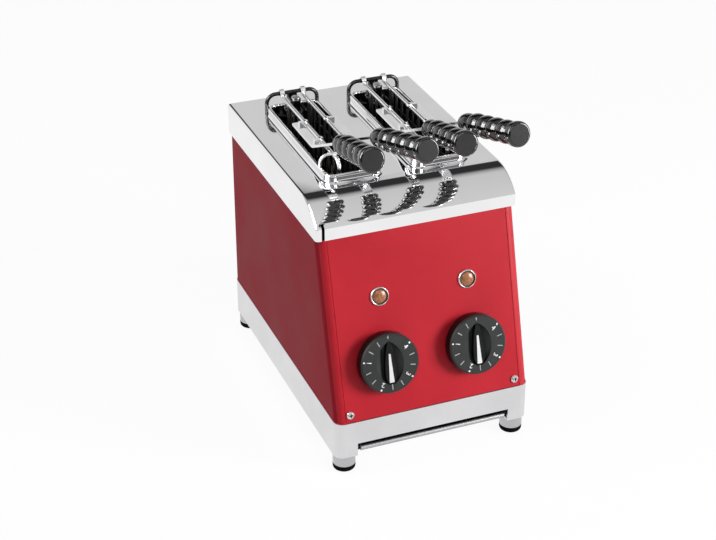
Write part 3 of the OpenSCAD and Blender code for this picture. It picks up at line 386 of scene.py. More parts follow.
class Bench:
    """Operators on one piece at a time, as a modeller works by hand."""

    SIDES = 48
    WELD = 1e-6
    FLAT = math.radians(0.6)

    @staticmethod
    def clear() -> None:
        """Leave edit mode and deselect everything."""
        if bpy.context.mode != "OBJECT":
            bpy.ops.object.mode_set(mode="OBJECT")
        bpy.ops.object.select_all(action="DESELECT")

    @staticmethod
    def hold(piece: Piece) -> None:
        """Select one piece alone and make it active.

        Args:
            piece: Piece to work on.
        """
        Bench.clear()
        piece.select_set(True)
        bpy.context.view_layer.objects.active = piece

    @staticmethod
    def edit(piece: Piece) -> None:
        """Open one piece in edit mode with nothing selected.

        Args:
            piece: Piece to work on.
        """
        Bench.hold(piece)
        bpy.ops.object.mode_set(mode="EDIT")
        bpy.ops.mesh.select_mode(type="FACE")
        bpy.ops.mesh.select_all(action="DESELECT")

    @staticmethod
    def every() -> None:
        """Select all of the open piece."""
        bpy.ops.mesh.select_all(action="SELECT")

    @staticmethod
    def rims() -> None:
        """Select the open edges of the open piece."""
        bpy.ops.mesh.select_all(action="DESELECT")
        bpy.ops.mesh.select_non_manifold()

    @staticmethod
    def outward(weld: float = 0.0) -> None:
        """Turn all faces of the open piece outward.

        Args:
            weld: Points nearer than this are merged first, in metres.
        """
        Bench.every()
        if weld:
            bpy.ops.mesh.remove_doubles(threshold=weld)
        bpy.ops.mesh.normals_make_consistent(inside=False)

    @staticmethod
    def extended(run: Sequence[float]) -> None:
        """Extrude the selected edges by a run."""
        bpy.ops.mesh.extrude_edges_move(TRANSFORM_OT_translate={"value": run})

    @staticmethod
    def fixed() -> None:
        """Put the place of the selected piece into its mesh."""
        bpy.ops.object.transform_apply(location=True, rotation=True, scale=True)

    @staticmethod
    def fresh(name: str) -> Piece:
        """Name the piece that was just added.

        Args:
            name: Name of the piece.

        Returns:
            The piece.
        """
        piece = bpy.context.object
        piece.name = piece.data.name = name
        return piece

    @staticmethod
    def copied(source: Piece, name: str) -> Piece:
        """Copy a piece with a mesh of its own.

        Args:
            source: Piece to copy.
            name: Name of the copy.

        Returns:
            The copy.
        """
        copy = bpy.data.objects.new(name, source.data.copy())
        bpy.context.scene.collection.objects.link(copy)
        return copy

    @staticmethod
    def pick_faces(piece: Piece, test: FaceTest) -> None:
        """Select faces by their middle and normal.

        Args:
            piece: Piece open in edit mode.
            test: Says whether a face with this middle and normal is taken.
        """
        mesh = bmesh.from_edit_mesh(piece.data)
        for face in mesh.faces:
            face.select_set(test(face.calc_center_median(), face.normal))
        bmesh.update_edit_mesh(piece.data)

    @staticmethod
    def pick_edges(piece: Piece, test: EdgeTest) -> None:
        """Select edges by their ends and the angle of their two faces.

        Args:
            piece: Piece open in edit mode.
            test: Says whether an edge with these ends and this angle in degrees is taken.
        """
        bpy.ops.mesh.select_mode(type="EDGE")
        mesh = bmesh.from_edit_mesh(piece.data)
        for edge in mesh.edges:
            angle = math.degrees(edge.calc_face_angle(0.0))
            edge.select_set(test(edge.verts[0].co, edge.verts[1].co, angle))
        bmesh.update_edit_mesh(piece.data)

    @staticmethod
    def paint(piece: Piece, slot: int, test: FaceTest) -> None:
        """Give some faces another of the piece's materials.

        Args:
            piece: Piece with several materials.
            slot: Number of the material.
            test: Says whether a face with this middle and normal gets it.
        """
        Bench.edit(piece)
        Bench.pick_faces(piece, test)
        piece.active_material_index = slot
        bpy.ops.object.material_slot_assign()
        Bench.clear()

    @staticmethod
    def turned(name: str, profile: Sequence[Pair], closed: bool = False) -> Piece:
        """Turn a piece round z, ring by ring.

        Args:
            name: Name of the piece.
            profile: Radius and height of each ring in metres.
            closed: True welds the last ring to the first, otherwise both ends are capped.

        Returns:
            The turned piece at the origin.
        """
        Bench.clear()
        radius, height = profile[0]
        bpy.ops.mesh.primitive_circle_add(vertices=Bench.SIDES, radius=radius, location=(0, 0, 0))
        piece = Bench.fresh(name)
        bpy.ops.object.mode_set(mode="EDIT")
        Bench.every()
        bpy.ops.transform.translate(value=(0, 0, height))
        if not closed:
            bpy.ops.mesh.edge_face_add()
            bpy.ops.mesh.select_mode(type="EDGE")
            bpy.ops.mesh.region_to_loop()
        for (near, low), (far, high) in zip(profile, profile[1:]):
            Bench.extended((0, 0, high - low))
            bpy.ops.transform.resize(value=(far / near, far / near, 1), center_override=(0, 0, high))
        if not closed:
            bpy.ops.mesh.edge_face_add()
        Bench.outward(Bench.WELD / 10 if closed else 0.0)
        Bench.clear()
        return piece

    @staticmethod
    def sketched(name: str, points: Sequence[Vector]) -> Piece:
        """Draw a closed flat outline, point by point, and fill it.

        Args:
            name: Name of the piece.
            points: Corners of the outline in order.

        Returns:
            A piece with one face.
        """
        Bench.clear()
        bpy.ops.mesh.primitive_plane_add(size=MM, location=(0, 0, 0))
        piece = Bench.fresh(name)
        bpy.ops.object.mode_set(mode="EDIT")
        bpy.ops.mesh.select_mode(type="VERT")
        Bench.every()
        bpy.ops.mesh.merge(type="CENTER")
        bpy.ops.transform.translate(value=points[0])
        for here, there in zip(points, points[1:]):
            bpy.ops.mesh.extrude_vertices_move(TRANSFORM_OT_translate={"value": there - here})
        Bench.every()
        bpy.ops.mesh.edge_face_add()
        Bench.clear()
        return piece

    @staticmethod
    def block(middle: Triple, size: Triple) -> Piece:
        """Add a block to cut with.

        Args:
            middle: Middle of the block.
            size: Its three sizes.

        Returns:
            The block.
        """
        Bench.clear()
        bpy.ops.mesh.primitive_cube_add(size=1, location=middle)
        block = Bench.fresh("block")
        block.scale = size
        Bench.fixed()
        return block

    @staticmethod
    def modified(piece: Piece, kind: str, **settings: object) -> Piece:
        """Add a modifier and apply it.

        Args:
            piece: Piece to finish.
            kind: Blender's name of the modifier.
            settings: Values of the modifier.

        Returns:
            The same piece.
        """
        Bench.hold(piece)
        modifier = piece.modifiers.new(kind.lower(), kind)
        for key, value in settings.items():
            setattr(modifier, key, value)
        bpy.ops.object.modifier_apply(modifier=modifier.name)
        return piece

    @staticmethod
    def weighted(piece: Piece) -> Piece:
        """Let large faces set a piece's shading, so that they look flat."""
        return Bench.modified(piece, "WEIGHTED_NORMAL", weight=80, keep_sharp=True)

    @staticmethod
    def cut(piece: Piece, *cutters: Piece) -> None:
        """Cut blocks out of a piece and remove the blocks.

        Args:
            piece: Piece to cut.
            cutters: Closed blocks.
        """
        for cutter in cutters:
            Bench.modified(piece, "BOOLEAN", operation="DIFFERENCE", object=cutter, solver="EXACT")
            bpy.data.objects.remove(cutter)

    @staticmethod
    def softened(node: str, width: float, segments: int = 2, angle: float = 30.0) -> Piece:
        """Copy a solid's mesh and round its sharp edges.

        Args:
            node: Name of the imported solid.
            width: Width of the rounded edge in metres.
            segments: Facets of the rounding.
            angle: Edges sharper than this are rounded, in degrees.

        Returns:
            The new piece.
        """
        piece = Bench.copied(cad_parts[node], node + "_dressed")
        Bench.edit(piece)
        bpy.ops.mesh.customdata_custom_splitnormals_clear()
        Bench.every()
        bpy.ops.mesh.remove_doubles(threshold=Bench.WELD)
        bpy.ops.mesh.dissolve_limited(angle_limit=Bench.FLAT)
        Bench.modified(piece, "BEVEL", width=width, segments=segments, limit_method="ANGLE",
                       angle_limit=math.radians(angle), miter_outer="MITER_ARC")
        return Bench.weighted(Bench.smoothed(piece))

    @staticmethod
    def smoothed(piece: Piece, angle: float = 32.0) -> Piece:
        """Shade a piece smooth.

        Args:
            piece: Piece to shade.
            angle: Edges sharper than this stay sharp, in degrees.

        Returns:
            The same piece.
        """
        Bench.hold(piece)
        bpy.ops.object.shade_smooth_by_angle(angle=math.radians(angle))
        return piece

    @staticmethod
    def placed(piece: Piece, matrix: Matrix) -> Piece:
        """Move a piece and put its place into its mesh.

        Args:
            piece: Piece modelled at the origin.
            matrix: Its place.

        Returns:
            The same piece.
        """
        Bench.hold(piece)
        piece.matrix_world = matrix
        Bench.fixed()
        return piece

    @staticmethod
    def joined(name: str, pieces: Sequence[Piece]) -> Piece:
        """Join pieces into the first one.

        Args:
            name: Name of the joined piece.
            pieces: Pieces to join.

        Returns:
            The joined piece.
        """
        Bench.clear()
        for piece in pieces:
            piece.select_set(True)
        bpy.context.view_layer.objects.active = pieces[0]
        bpy.ops.object.join()
        return Bench.fresh(name)


def coat(piece: Piece, *materials: Material) -> Piece:
    """Give a new piece its materials.

    Args:
        piece: New piece.
        materials: Materials in the order of the slots.

    Returns:
        The same piece.
    """
    piece.data.materials.clear()
    for material in materials:
        piece.data.materials.append(material)
    return piece


def dress(material: Material, *nodes: str) -> None:
    """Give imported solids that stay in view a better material.

    Args:
        material: The material.
        nodes: Names of the solids.
    """
    for node in nodes:
        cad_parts[node].material_slots[0].material = material
        log.info("dressed %s", node)


def settle(piece: Piece, body: str, slot: str, *nodes: str) -> None:
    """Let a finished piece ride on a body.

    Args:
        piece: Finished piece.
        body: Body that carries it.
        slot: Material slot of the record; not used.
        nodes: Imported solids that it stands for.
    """
    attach(piece, body)
    if nodes:
        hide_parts(*nodes)
    log.info("made %s on %s", piece.name, body)


def soften(node: str, material: Material, body: str, slot: str, *rounding: float) -> None:
    """Put a copy with edges rounded by a width, and maybe facets and an angle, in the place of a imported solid."""
    settle(coat(Bench.softened(node, *rounding), material), body, slot, node)


# Sub-assemblies


@dataclass(frozen=True)
class Slope:
    """Plane of the leaning panel."""

    front: float = -152.0 * MM
    low: float = 56.0 * MM
    lean: float = math.atan(48 / 172)

    def at(self, x: float, s: float) -> Matrix:
        """Frame on the panel, x across, y up the slope and z outward, at a place x across and s up."""
        tilt = Matrix.Rotation(math.pi / 2 - self.lean, 4, "X")
        return Matrix.Translation((0, self.front, self.low)) @ tilt @ Matrix.Translation((x, s, 0))


@dataclass
class Case:
    """Skirt, shell, panel, cover, collars, tray and feet."""

    palette: Palette
    slope: Slope
    cover_half: float = 100.8 * MM
    cover_front: float = -105.5 * MM
    cover_back: float = 153.3 * MM
    cover_low: float = 228.0 * MM
    cover_top: float = 259.0 * MM
    flange_top: float = 240.0 * MM
    arc_start: float = -66.5 * MM
    arc_steps: int = 24
    sheet: float = 1.2 * MM
    fold: float = 3.6 * MM
    slot_x: float = 44.0 * MM
    slot_y: float = 29.0 * MM
    slot_size: Triple = (50.7 * MM, 168.7 * MM, 8.0 * MM)
    slot_round: float = 7.2 * MM
    collar_half: Pair = (28.0 * MM, 87.0 * MM)
    collar_round: float = 10.0 * MM
    collar_wall: float = 0.8 * MM
    corner_steps: int = 8
    flare: float = 3.0 * MM
    flare_steps: int = 7
    flare_sunk: float = 0.02 * MM
    seam: Pair = (7.2 * MM, 7.0 * MM)  # from the cover's left edge, from its lower edge
    seam_size: Triple = (2.8 * MM, 14.0 * MM, 18.0 * MM)
    lip_back: float = -147.0 * MM
    screw: Pair = (85.0 * MM, 8.0 * MM)  # across the panel, up its slope
    recess: Triple = (2.0 * MM, 1.0 * MM, 2.3 * MM)  # radius, bottom, top
    # Shell faces turned further to the front than this share get the panel red: a painted highlight on the shell's
    # front corner.
    painted_highlight_turn: float = 0.62  # share of a face's normal that points to the front
    fold_angle: float = 60.0

    def build(self) -> None:
        """Make and dress the case."""
        self.cover()
        self.sheets()
        self.base()

    def outline(self) -> list[Vector]:
        """Draw the cover's side, from its back foot over the top to its front foot.

        Returns:
            Corners of the outline.
        """
        run = self.arc_start - self.cover_front
        drop = self.cover_top - self.flange_top
        radius = (run * run + drop * drop) / (2 * drop)
        sweep = math.asin(run / radius)
        points = [(self.cover_back, self.cover_low), (self.cover_back, self.cover_top)]
        for i in range(self.arc_steps + 1):
            turn = sweep * i / self.arc_steps
            points.append((self.arc_start - radius * math.sin(turn), self.cover_top - radius * (1 - math.cos(turn))))
        points.append((self.cover_front, self.cover_low))
        return [Vector((-self.cover_half, y, z)) for y, z in points]

    def slot_block(self, side: Side) -> Piece:
        """Make the rounded block that cuts one slot out of the cover.

        Args:
            side: Side of the slot.

        Returns:
            The block.
        """
        block = Bench.block((side.value * self.slot_x, self.slot_y, self.cover_top), self.slot_size)
        Bench.edit(block)
        Bench.pick_edges(block, lambda a, b, angle: abs(a.z - b.z) > MM)
        bpy.ops.mesh.bevel(offset=self.slot_round, segments=8, affect="EDGES")
        Bench.clear()
        return block

    def seam_block(self) -> Piece:
        """Make the thin block that opens the seam beside the cover's left front corner."""
        across, up = self.seam
        return Bench.block((across - self.cover_half, self.cover_front, self.cover_low + up), self.seam_size)

    def cover(self) -> None:
        """Fold the polished cover from one sheet."""
        piece = Bench.sketched("cover_skin", self.outline())
        Bench.edit(piece)
        Bench.every()
        bpy.ops.mesh.extrude_region_move(TRANSFORM_OT_translate={"value": (2 * self.cover_half, 0, 0)})
        Bench.outward()
        Bench.edit(piece)
        Bench.pick_faces(piece, lambda middle, normal: normal.z < -0.9)
        bpy.ops.mesh.delete(type="FACE")
        Bench.pick_edges(piece, lambda a, b, angle: angle > self.fold_angle)
        bpy.ops.mesh.bevel(offset=self.fold, segments=5, affect="EDGES", clamp_overlap=True)
        Bench.outward()
        Bench.modified(piece, "SOLIDIFY", thickness=self.sheet, offset=-1.0, use_even_offset=True)
        Bench.cut(piece, *[self.slot_block(side) for side in Side], self.seam_block())
        Bench.smoothed(piece, 34.0)
        settle(coat(piece, self.palette.mirror), "chassis", "polished_steel", "top_cover")

    def foot_flare(self, side: Side) -> Piece:
        """Press the hollow curve between the cover and the wall of a slot collar.

        Args:
            side: Side of the slot.

        Returns:
            A closed ring with the curve outside.
        """
        middle = Vector((side.value * self.slot_x, self.slot_y, self.cover_top - self.flare_sunk))
        radius = self.collar_round + self.flare
        points = []
        for quarter, (across, along) in enumerate(((1, 1), (-1, 1), (-1, -1), (1, -1))):
            hub = Vector((across * (self.collar_half[0] - self.collar_round),
                          along * (self.collar_half[1] - self.collar_round), 0))
            for i in range(self.corner_steps + 1):
                turn = (quarter + i / self.corner_steps) * math.pi / 2
                points.append(middle + hub + radius * Vector((math.cos(turn), math.sin(turn), 0)))
        ring = Bench.sketched("flare", points)
        Bench.edit(ring)
        Bench.every()
        bpy.ops.mesh.delete(type="ONLY_FACE")
        bpy.ops.mesh.select_mode(type="EDGE")
        Bench.every()
        turns = [math.pi / 2 * (i + 1) / self.flare_steps for i in range(self.flare_steps)]
        stages = [(self.flare * (1 - math.sin(turn)), self.flare * (1 - math.cos(turn))) for turn in turns]
        stages += [(-self.collar_wall, self.flare), (-self.collar_wall, 0.0), (self.flare, 0.0)]
        spread, height = self.flare, 0.0
        for next_spread, next_height in stages:
            size = [(half + next_spread) / (half + spread) for half in self.collar_half]
            Bench.extended((0, 0, next_height - height))
            bpy.ops.transform.resize(value=(*size, 1), center_override=middle)
            spread, height = next_spread, next_height
        Bench.outward(Bench.WELD)
        return Bench.smoothed(ring, 40.0)

    def sheets(self) -> None:
        """Dress the shell, panel, collars and screws."""
        palette = self.palette
        soften("front_panel", palette.panel, "chassis", "red_panel", 0.6 * MM)
        shell = coat(Bench.softened("body_shell", 0.5 * MM), palette.shell, palette.panel, palette.rubber)
        Bench.edit(shell)
        Bench.every()
        bpy.ops.mesh.bisect(plane_co=(0, 0, self.cover_low), plane_no=(0, 0, 1))
        Bench.weighted(shell)
        # Paint the shell's front-turned faces with the brighter panel red: a painted highlight on its front corner.
        Bench.paint(shell, 1, lambda middle, normal: normal.y < -self.painted_highlight_turn)
        # Paint the shell hidden under the cover black, so that the seam shows dark: painted shade.
        Bench.paint(shell, 2, lambda middle, normal: middle.z > self.cover_low)
        settle(shell, "chassis", "red_shell", "body_shell")
        for side in Side:
            node = "slot_collar_" + side.word
            collar = Bench.joined(node + "_dressed", [Bench.softened(node, 0.35 * MM, 3), self.foot_flare(side)])
            settle(coat(collar, palette.rim), "chassis", "polished_steel", node)
        screws = coat(Bench.softened("case_screws", 0.2 * MM), palette.zinc, palette.dark_steel)
        # Paint the screws' cross recesses near-black steel: painted shade.
        Bench.paint(screws, 1, lambda middle, normal: self.in_recess(middle))
        settle(screws, "chassis", "zinc", "case_screws")

    def in_recess(self, middle: Vector) -> bool:
        """Tell whether a face lies in the cross cut of a panel screw.

        Args:
            middle: Middle of the face.

        Returns:
            Whether the face is in the cut.
        """
        x, s = self.screw
        radius, low, high = self.recess
        place = self.slope.at(math.copysign(x, middle.x), s).inverted() @ middle
        return low < place.z < high and place.xy.length < radius

    def base(self) -> None:
        """Round the edges of the skirt, feet and tray."""
        palette = self.palette
        soften("base_frame", palette.satin, "chassis", "satin_steel", 0.9 * MM, 3)
        # The cups' darker metal is partly painted shade under the skirt.
        soften("foot_cups", palette.foot, "chassis", "satin_steel", 0.8 * MM, 3)
        tray = coat(Bench.softened("crumb_tray", 0.3 * MM), palette.sheet, palette.lip)
        # Paint the lip with the darker copy of the tray's steel: painted shade.
        Bench.paint(tray, 1, lambda middle, normal: middle.y < self.lip_back)
        settle(tray, "tray", "sheet_steel", "crumb_tray")
        dress(palette.rubber, "foot_pads")
        dress(palette.zinc, "foot_screws")
        # The deck and runners under the case are near-black steel: painted shade.
        dress(palette.dark_steel, "base_deck", "tray_runners")


@dataclass
class Chamber:
    """Heating chamber and the parts behind the panel and back wall."""

    palette: Palette

    def build(self) -> None:
        """Dress what lies inside."""
        palette = self.palette
        banks = ("left_outer", "left_inner", "right_inner", "right_outer")
        # The chamber's sheets, rests and guards are near-black: painted shade inside the slots.
        dress(palette.dark_steel, "bulkhead_front", "bulkhead_rear", "reflector_left", "reflector_center",
              "reflector_right", "tong_rests")
        dress(palette.dark_wire, *("guard_" + bank for bank in banks))
        dress(palette.quartz, *("heater_" + bank for bank in banks))
        dress(palette.ceramic, "heater_bushes", "terminal_block")
        dress(palette.brass, "heater_links", "timer_nuts")
        dress(palette.black, "timer_left", "timer_right", "lamp_bodies", "gland_nut")
        dress(palette.zinc, "timer_shaft_left", "timer_shaft_right")
        soften("cable_gland", palette.black, "chassis", "dark_moulding", 0.5 * MM, 3)


@dataclass
class Controls:
    """Timer dials and pilot lamps on the leaning panel, with the lamps' profiles in millimetres."""

    palette: Palette
    slope: Slope
    dial_x: float = 45.0 * MM
    dial_s: float = 54.0 * MM
    dial_radius: float = 29.0 * MM
    dial_height: float = 13.0 * MM
    dial_wall: float = 1.2 * MM
    hollow: float = 5.0 * MM
    ridge_width: float = 11.0 * MM
    ridge_low: float = 10.0 * MM
    ridge_ends: Pair = (33.5 * MM, 13.5 * MM)
    ridge_over: float = 0.12 * MM
    step: float = 360 / 14
    zero_stroke: Triple = (0.84, 0.94, 0.9 * MM)
    plain_stroke: Triple = (0.70, 0.88, 0.8 * MM)
    dot: Triple = (0.885, 0.945, 1.6 * MM)
    figure_size: float = 6.6 * MM
    figure_weight: float = 0.12 * MM
    figure_place: float = 0.73
    print_depth: float = 0.06 * MM
    print_lift: float = 0.02 * MM
    lamp_x: float = 44.5 * MM
    lamp_s: float = 116.5 * MM
    # Inside this radius the lamp ring is painted dark: painted shade.
    gasket: float = 7.88 * MM
    ring: Pairs = ((9.25, 0.0), (9.25, 0.7), (9.05, 1.3), (8.7, 1.7), (8.35, 1.85), (8.05, 1.7), (7.9, 1.3),
                   (7.8, 0.8), (6.5, 0.7), (6.5, 0.0), (9.25, 0.0))
    lens: Pairs = ((6.45, 0.05), (6.45, 0.8), (6.2, 1.1), (5.6, 1.4), (4.6, 1.75), (3.2, 2.1), (1.8, 2.3),
                   (0.6, 2.36))

    def build(self) -> None:
        """Make both dials and both lamps."""
        for side in Side:
            self.dial(side)
        self.lamps("lamp_rings", self.ring, self.palette.zinc, "polished_steel", "lamp_bezels")
        self.lamps("lamp_crowns", self.lens, self.palette.amber, "amber_lens", "lamp_lenses")

    def black(self, middle: Vector, normal: Vector) -> bool:
        """Tell the dial's black faces from the grey ones: its black ridge, and its outer wall, which is painted black
        as painted shade.

        Args:
            middle: Middle of the face in the dial's frame.
            normal: Normal of the face in the dial's frame.

        Returns:
            Whether the face is black.
        """
        # The dial's outer wall is painted black: painted shade.
        if abs(normal.z) < 0.5 and middle.xy.length > self.dial_radius - self.dial_wall:
            return True
        along = middle.y + self.ridge_low
        reach = self.ridge_ends[0] if along > 0 else self.ridge_ends[1]
        if middle.z < self.dial_height - self.hollow or abs(along) > reach:
            return False
        radius = (reach ** 2 + (self.ridge_width / 2) ** 2) / self.ridge_width
        half = math.sqrt(radius ** 2 - along ** 2) - radius + self.ridge_width / 2
        return abs(middle.x) < half + self.ridge_over

    def dial(self, side: Side) -> None:
        """Make one dial with its ridge, inlay and print.

        Args:
            side: Side of the dial.
        """
        palette, body = self.palette, side.word + "_timer"
        place = self.slope.at(side.value * self.dial_x, self.dial_s)
        inverse = place.inverted()
        turn = inverse.to_3x3()
        knob = coat(Bench.softened("knob_" + side.word, 0.35 * MM, 3), palette.dial, palette.grip)
        Bench.weighted(Bench.modified(knob, "TRIANGULATE", min_vertices=5))
        # The ridge is black; the outer wall is painted black as painted shade.
        Bench.paint(knob, 1, lambda middle, normal: self.black(inverse @ middle, turn @ normal))
        settle(knob, body, "knob_plastic", "knob_" + side.word)
        soften("knob_inlay_" + side.word, palette.inlay, body, "white_inlay", 0.2 * MM)
        settle(Bench.placed(self.marks(side), place), body, "white_inlay")

    def mark(self, angle: float, near: float, far: float, width: float) -> Piece:
        """Print one stroke that points outward.

        Args:
            angle: Place round the dial in degrees, counter-clockwise from the top.
            near: Inner end as a share of the dial's radius.
            far: Outer end as a share of the dial's radius.
            width: Width of the stroke.

        Returns:
            The flat stroke.
        """
        turn = Matrix.Rotation(math.radians(angle), 4, "Z")
        half = width / 2
        corners = [(-half, near), (half, near), (half, far), (-half, far)]
        return Bench.sketched("stroke", [turn @ Vector((x, r * self.dial_radius, 0)) for x, r in corners])

    def figure(self, text: str, angle: float) -> Piece:
        """Print one number that reads upright when it is at the top.

        Args:
            text: The number.
            angle: Place round the dial in degrees, counter-clockwise from the top.

        Returns:
            The flat number.
        """
        Bench.clear()
        bpy.ops.object.text_add(location=(0, 0, 0))
        letter = bpy.context.object.data
        letter.body = text
        letter.size, letter.offset, letter.resolution_u = self.figure_size, self.figure_weight, 4
        letter.align_x, letter.align_y = "CENTER", "CENTER"
        bpy.ops.object.convert(target="MESH")
        turn = Matrix.Rotation(math.radians(angle), 4, "Z")
        up = Matrix.Translation((0, self.figure_place * self.dial_radius, 0))
        return Bench.placed(bpy.context.object, turn @ up)

    def marks(self, side: Side) -> Piece:
        """Print a dial: strokes, dots and the numbers one to four.

        Args:
            side: Side of the dial.

        Returns:
            The print, at the height of the dial's face.
        """
        grey, white = self.palette.stroke, self.palette.print
        pieces = [coat(self.mark(0, *self.zero_stroke), grey)]
        for k in range(1, 13):
            angle = k * self.step
            if k % 3:
                pieces.append(coat(self.mark(angle, *self.plain_stroke), grey))
            else:
                pieces.append(coat(self.figure(str(k // 3), angle), white))
                pieces.append(coat(self.mark(angle, *self.dot), white))
        marks = Bench.joined("dial_print_" + side.word, pieces)
        Bench.modified(marks, "SOLIDIFY", thickness=self.print_depth, offset=0.0)
        return Bench.placed(marks, Matrix.Translation((0, 0, self.dial_height + self.print_lift)))

    def lamps(self, name: str, profile: Pairs, material: Material, slot: str, node: str) -> None:
        """Turn one part of both pilot lamps.

        Args:
            name: Name of the piece.
            profile: Radius and height of each ring in millimetres.
            material: Finish of the part.
            slot: Material slot of the record.
            node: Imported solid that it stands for.
        """
        closed = profile[0] == profile[-1]
        master = Bench.turned(name, [(r * MM, z * MM) for r, z in profile], closed)
        coat(Bench.smoothed(master), material, self.palette.gasket)
        # Paint the ring's inner slope down to the lens dark brown: painted shade.
        if closed:
            Bench.paint(master, 1, lambda middle, normal: middle.xy.length < self.gasket)
        pair = [Bench.placed(Bench.copied(master, name + "_" + side.word),
                             self.slope.at(side.value * self.lamp_x, self.lamp_s)) for side in Side]
        bpy.data.objects.remove(master)
        settle(Bench.joined(name, pair), "chassis", slot, node)


@dataclass
class Tong:
    """One lift-out tong: wire jaws, hinge, spring, straps and handles, with the disc's edge in millimetres."""

    palette: Palette
    side: Side
    slot_x: float = 44.0 * MM
    hinge_y: float = 104.0 * MM
    pin_head: float = 4.1 * MM
    pin_low: float = 274.6 * MM
    pin_dome: Pairs = ((0.6 * MM, 0.35 * MM), (0.9 * MM, 0.35 * MM), (0.9 * MM, 0.15 * MM))
    coil_wire: float = 0.8 * MM
    coil_radius: float = 6.0 * MM
    coil_turns: float = 2.5
    coil_leg: float = 9.0 * MM
    coil_steps: int = 90
    leaf_front: float = 93.0 * MM
    leaf_top: float = 272.0 * MM
    # Wire below this height, down in the slot, is painted dark: painted shade.
    slot_shade_top: float = 267.0 * MM
    strap_x: float = 18.05 * MM
    root: Pair = (-68.0 * MM, 304.3 * MM)
    root_radius: float = 5.2 * MM
    slope: float = 16.0
    splay: float = 4.6
    length: float = 101.0 * MM
    bead_start: float = 16.3 * MM
    bead_pitch: float = 17.8 * MM
    bead_count: int = 4
    bead_steps: int = 12
    groove: float = 7.75 * MM
    groove_half: float = 0.3 * MM
    crest: float = 11.0 * MM
    neck: float = 7.4 * MM
    neck_steps: int = 5
    neck_curve: float = 1.2
    disc: float = 11.75 * MM
    disc_rim: float = 2.25 * MM
    disc_hollow: float = 0.5 * MM
    disc_edge: Pairs = ((0.0, 2.4), (0.2, 1.5), (0.65, 0.75), (1.3, 0.25), (2.0, 0.0), (2.2, 0.0), (2.35, 0.15),
                        (2.8, 0.15), (9.75, 0.1))

    @property
    def middle(self) -> float:
        """Place of the tong's middle across the toaster."""
        return self.side.value * self.slot_x

    @property
    def body(self) -> str:
        """Name of the body that carries hanger and spring."""
        return self.side.word + "_tong"

    def build(self) -> None:
        """Make the tong."""
        self.hanger()
        self.spring()
        for jaw in Jaw:
            self.grid(jaw)
            node = f"{self.body}_arm_{jaw.word}"
            soften(node, self.palette.strap, self.jaw_body(jaw), "chromed_wire", 0.4 * MM, 2, 24.0)
            self.handle(jaw)

    def jaw_body(self, jaw: Jaw) -> str:
        """Name of the body of one jaw."""
        return f"{self.body}_jaw_{jaw.word}"

    def hanger(self) -> None:
        """Round the bent hanger bar and dome the bright head of its hinge pin."""
        node = self.body + "_hanger"
        piece = coat(Bench.softened(node, 0.3 * MM), self.palette.hinge, self.palette.wire)
        axis = Vector((self.middle, self.hinge_y))

        def head(middle: Vector, normal: Vector) -> bool:
            """Faces of the pin's upper head."""
            return middle.z > self.pin_low and (middle.xy - axis).length < self.pin_head

        Bench.paint(piece, 1, head)
        Bench.edit(piece)
        Bench.pick_faces(piece, lambda middle, normal: head(middle, normal) and normal.z > 0.95)
        for width, rise in self.pin_dome:
            bpy.ops.mesh.inset(thickness=width, use_boundary=True)
            bpy.ops.transform.translate(value=(0, 0, rise))
        Bench.smoothed(piece, 40.0)
        settle(piece, self.body, "spring_steel", node)

    def spring(self) -> None:
        """Wind the torsion spring as one round wire with two legs."""
        node = self.body + "_spring"
        low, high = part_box(node)
        wire = self.coil_wire
        Bench.clear()
        bpy.ops.mesh.primitive_circle_add(vertices=12, radius=wire, location=(self.coil_radius, 0, low.z + wire),
                                          rotation=(math.pi / 2, 0, 0))
        coil = Bench.fresh(self.body + "_coil")
        Bench.fixed()
        Bench.modified(coil, "SCREW", axis="Z", angle=2 * math.pi * self.coil_turns,
                       screw_offset=high.z - low.z - 2 * wire, steps=self.coil_steps,
                       render_steps=self.coil_steps, use_merge_vertices=False)
        Bench.edit(coil)
        bpy.ops.mesh.select_mode(type="EDGE")
        Bench.rims()
        Bench.extended((0, -self.coil_leg, 0))
        Bench.rims()
        bpy.ops.mesh.fill_holes(sides=0)
        Bench.outward()
        Bench.smoothed(coil, 50.0)
        Bench.placed(coil, Matrix.Translation((self.middle, self.hinge_y, 0)))
        settle(coat(coil, self.palette.hinge), self.body, "spring_steel", node)

    def grid(self, jaw: Jaw) -> None:
        """Smooth a wire jaw, blacken its hinge leaves and darken, as painted shade, the wire that hangs down into the
        slot.

        Args:
            jaw: Half of the tong.
        """
        node, palette = f"{self.body}_grid_{jaw.word}", self.palette
        grid = coat(Bench.softened(node, 0.35 * MM), palette.wire, palette.hinge, palette.dark_wire)
        # Paint the wire down in the slot dark: painted shade.
        Bench.paint(grid, 2, lambda middle, normal: middle.z < self.slot_shade_top)
        Bench.paint(grid, 1, lambda middle, normal: middle.y > self.leaf_front and middle.z < self.leaf_top)
        settle(grid, self.jaw_body(jaw), "chromed_wire", node)

    def bead(self, start: float, stop: float, crest: float) -> list[Pair]:
        """Round one bead, with half of a narrow flat groove at each end.

        Args:
            start: Height of the groove before it.
            stop: Height of the groove after it.
            crest: Largest radius.

        Returns:
            Radius and height of each ring.
        """
        half = (stop - start) / 2 - self.groove_half
        rise = crest - self.groove
        arc = (half * half + rise * rise) / (2 * rise)
        rings = []
        for i in range(self.bead_steps + 1):
            along = half * (2 * i / self.bead_steps - 1)
            rings.append((crest - arc + math.sqrt(arc * arc - along * along),
                          start + self.groove_half + half + along))
        return rings

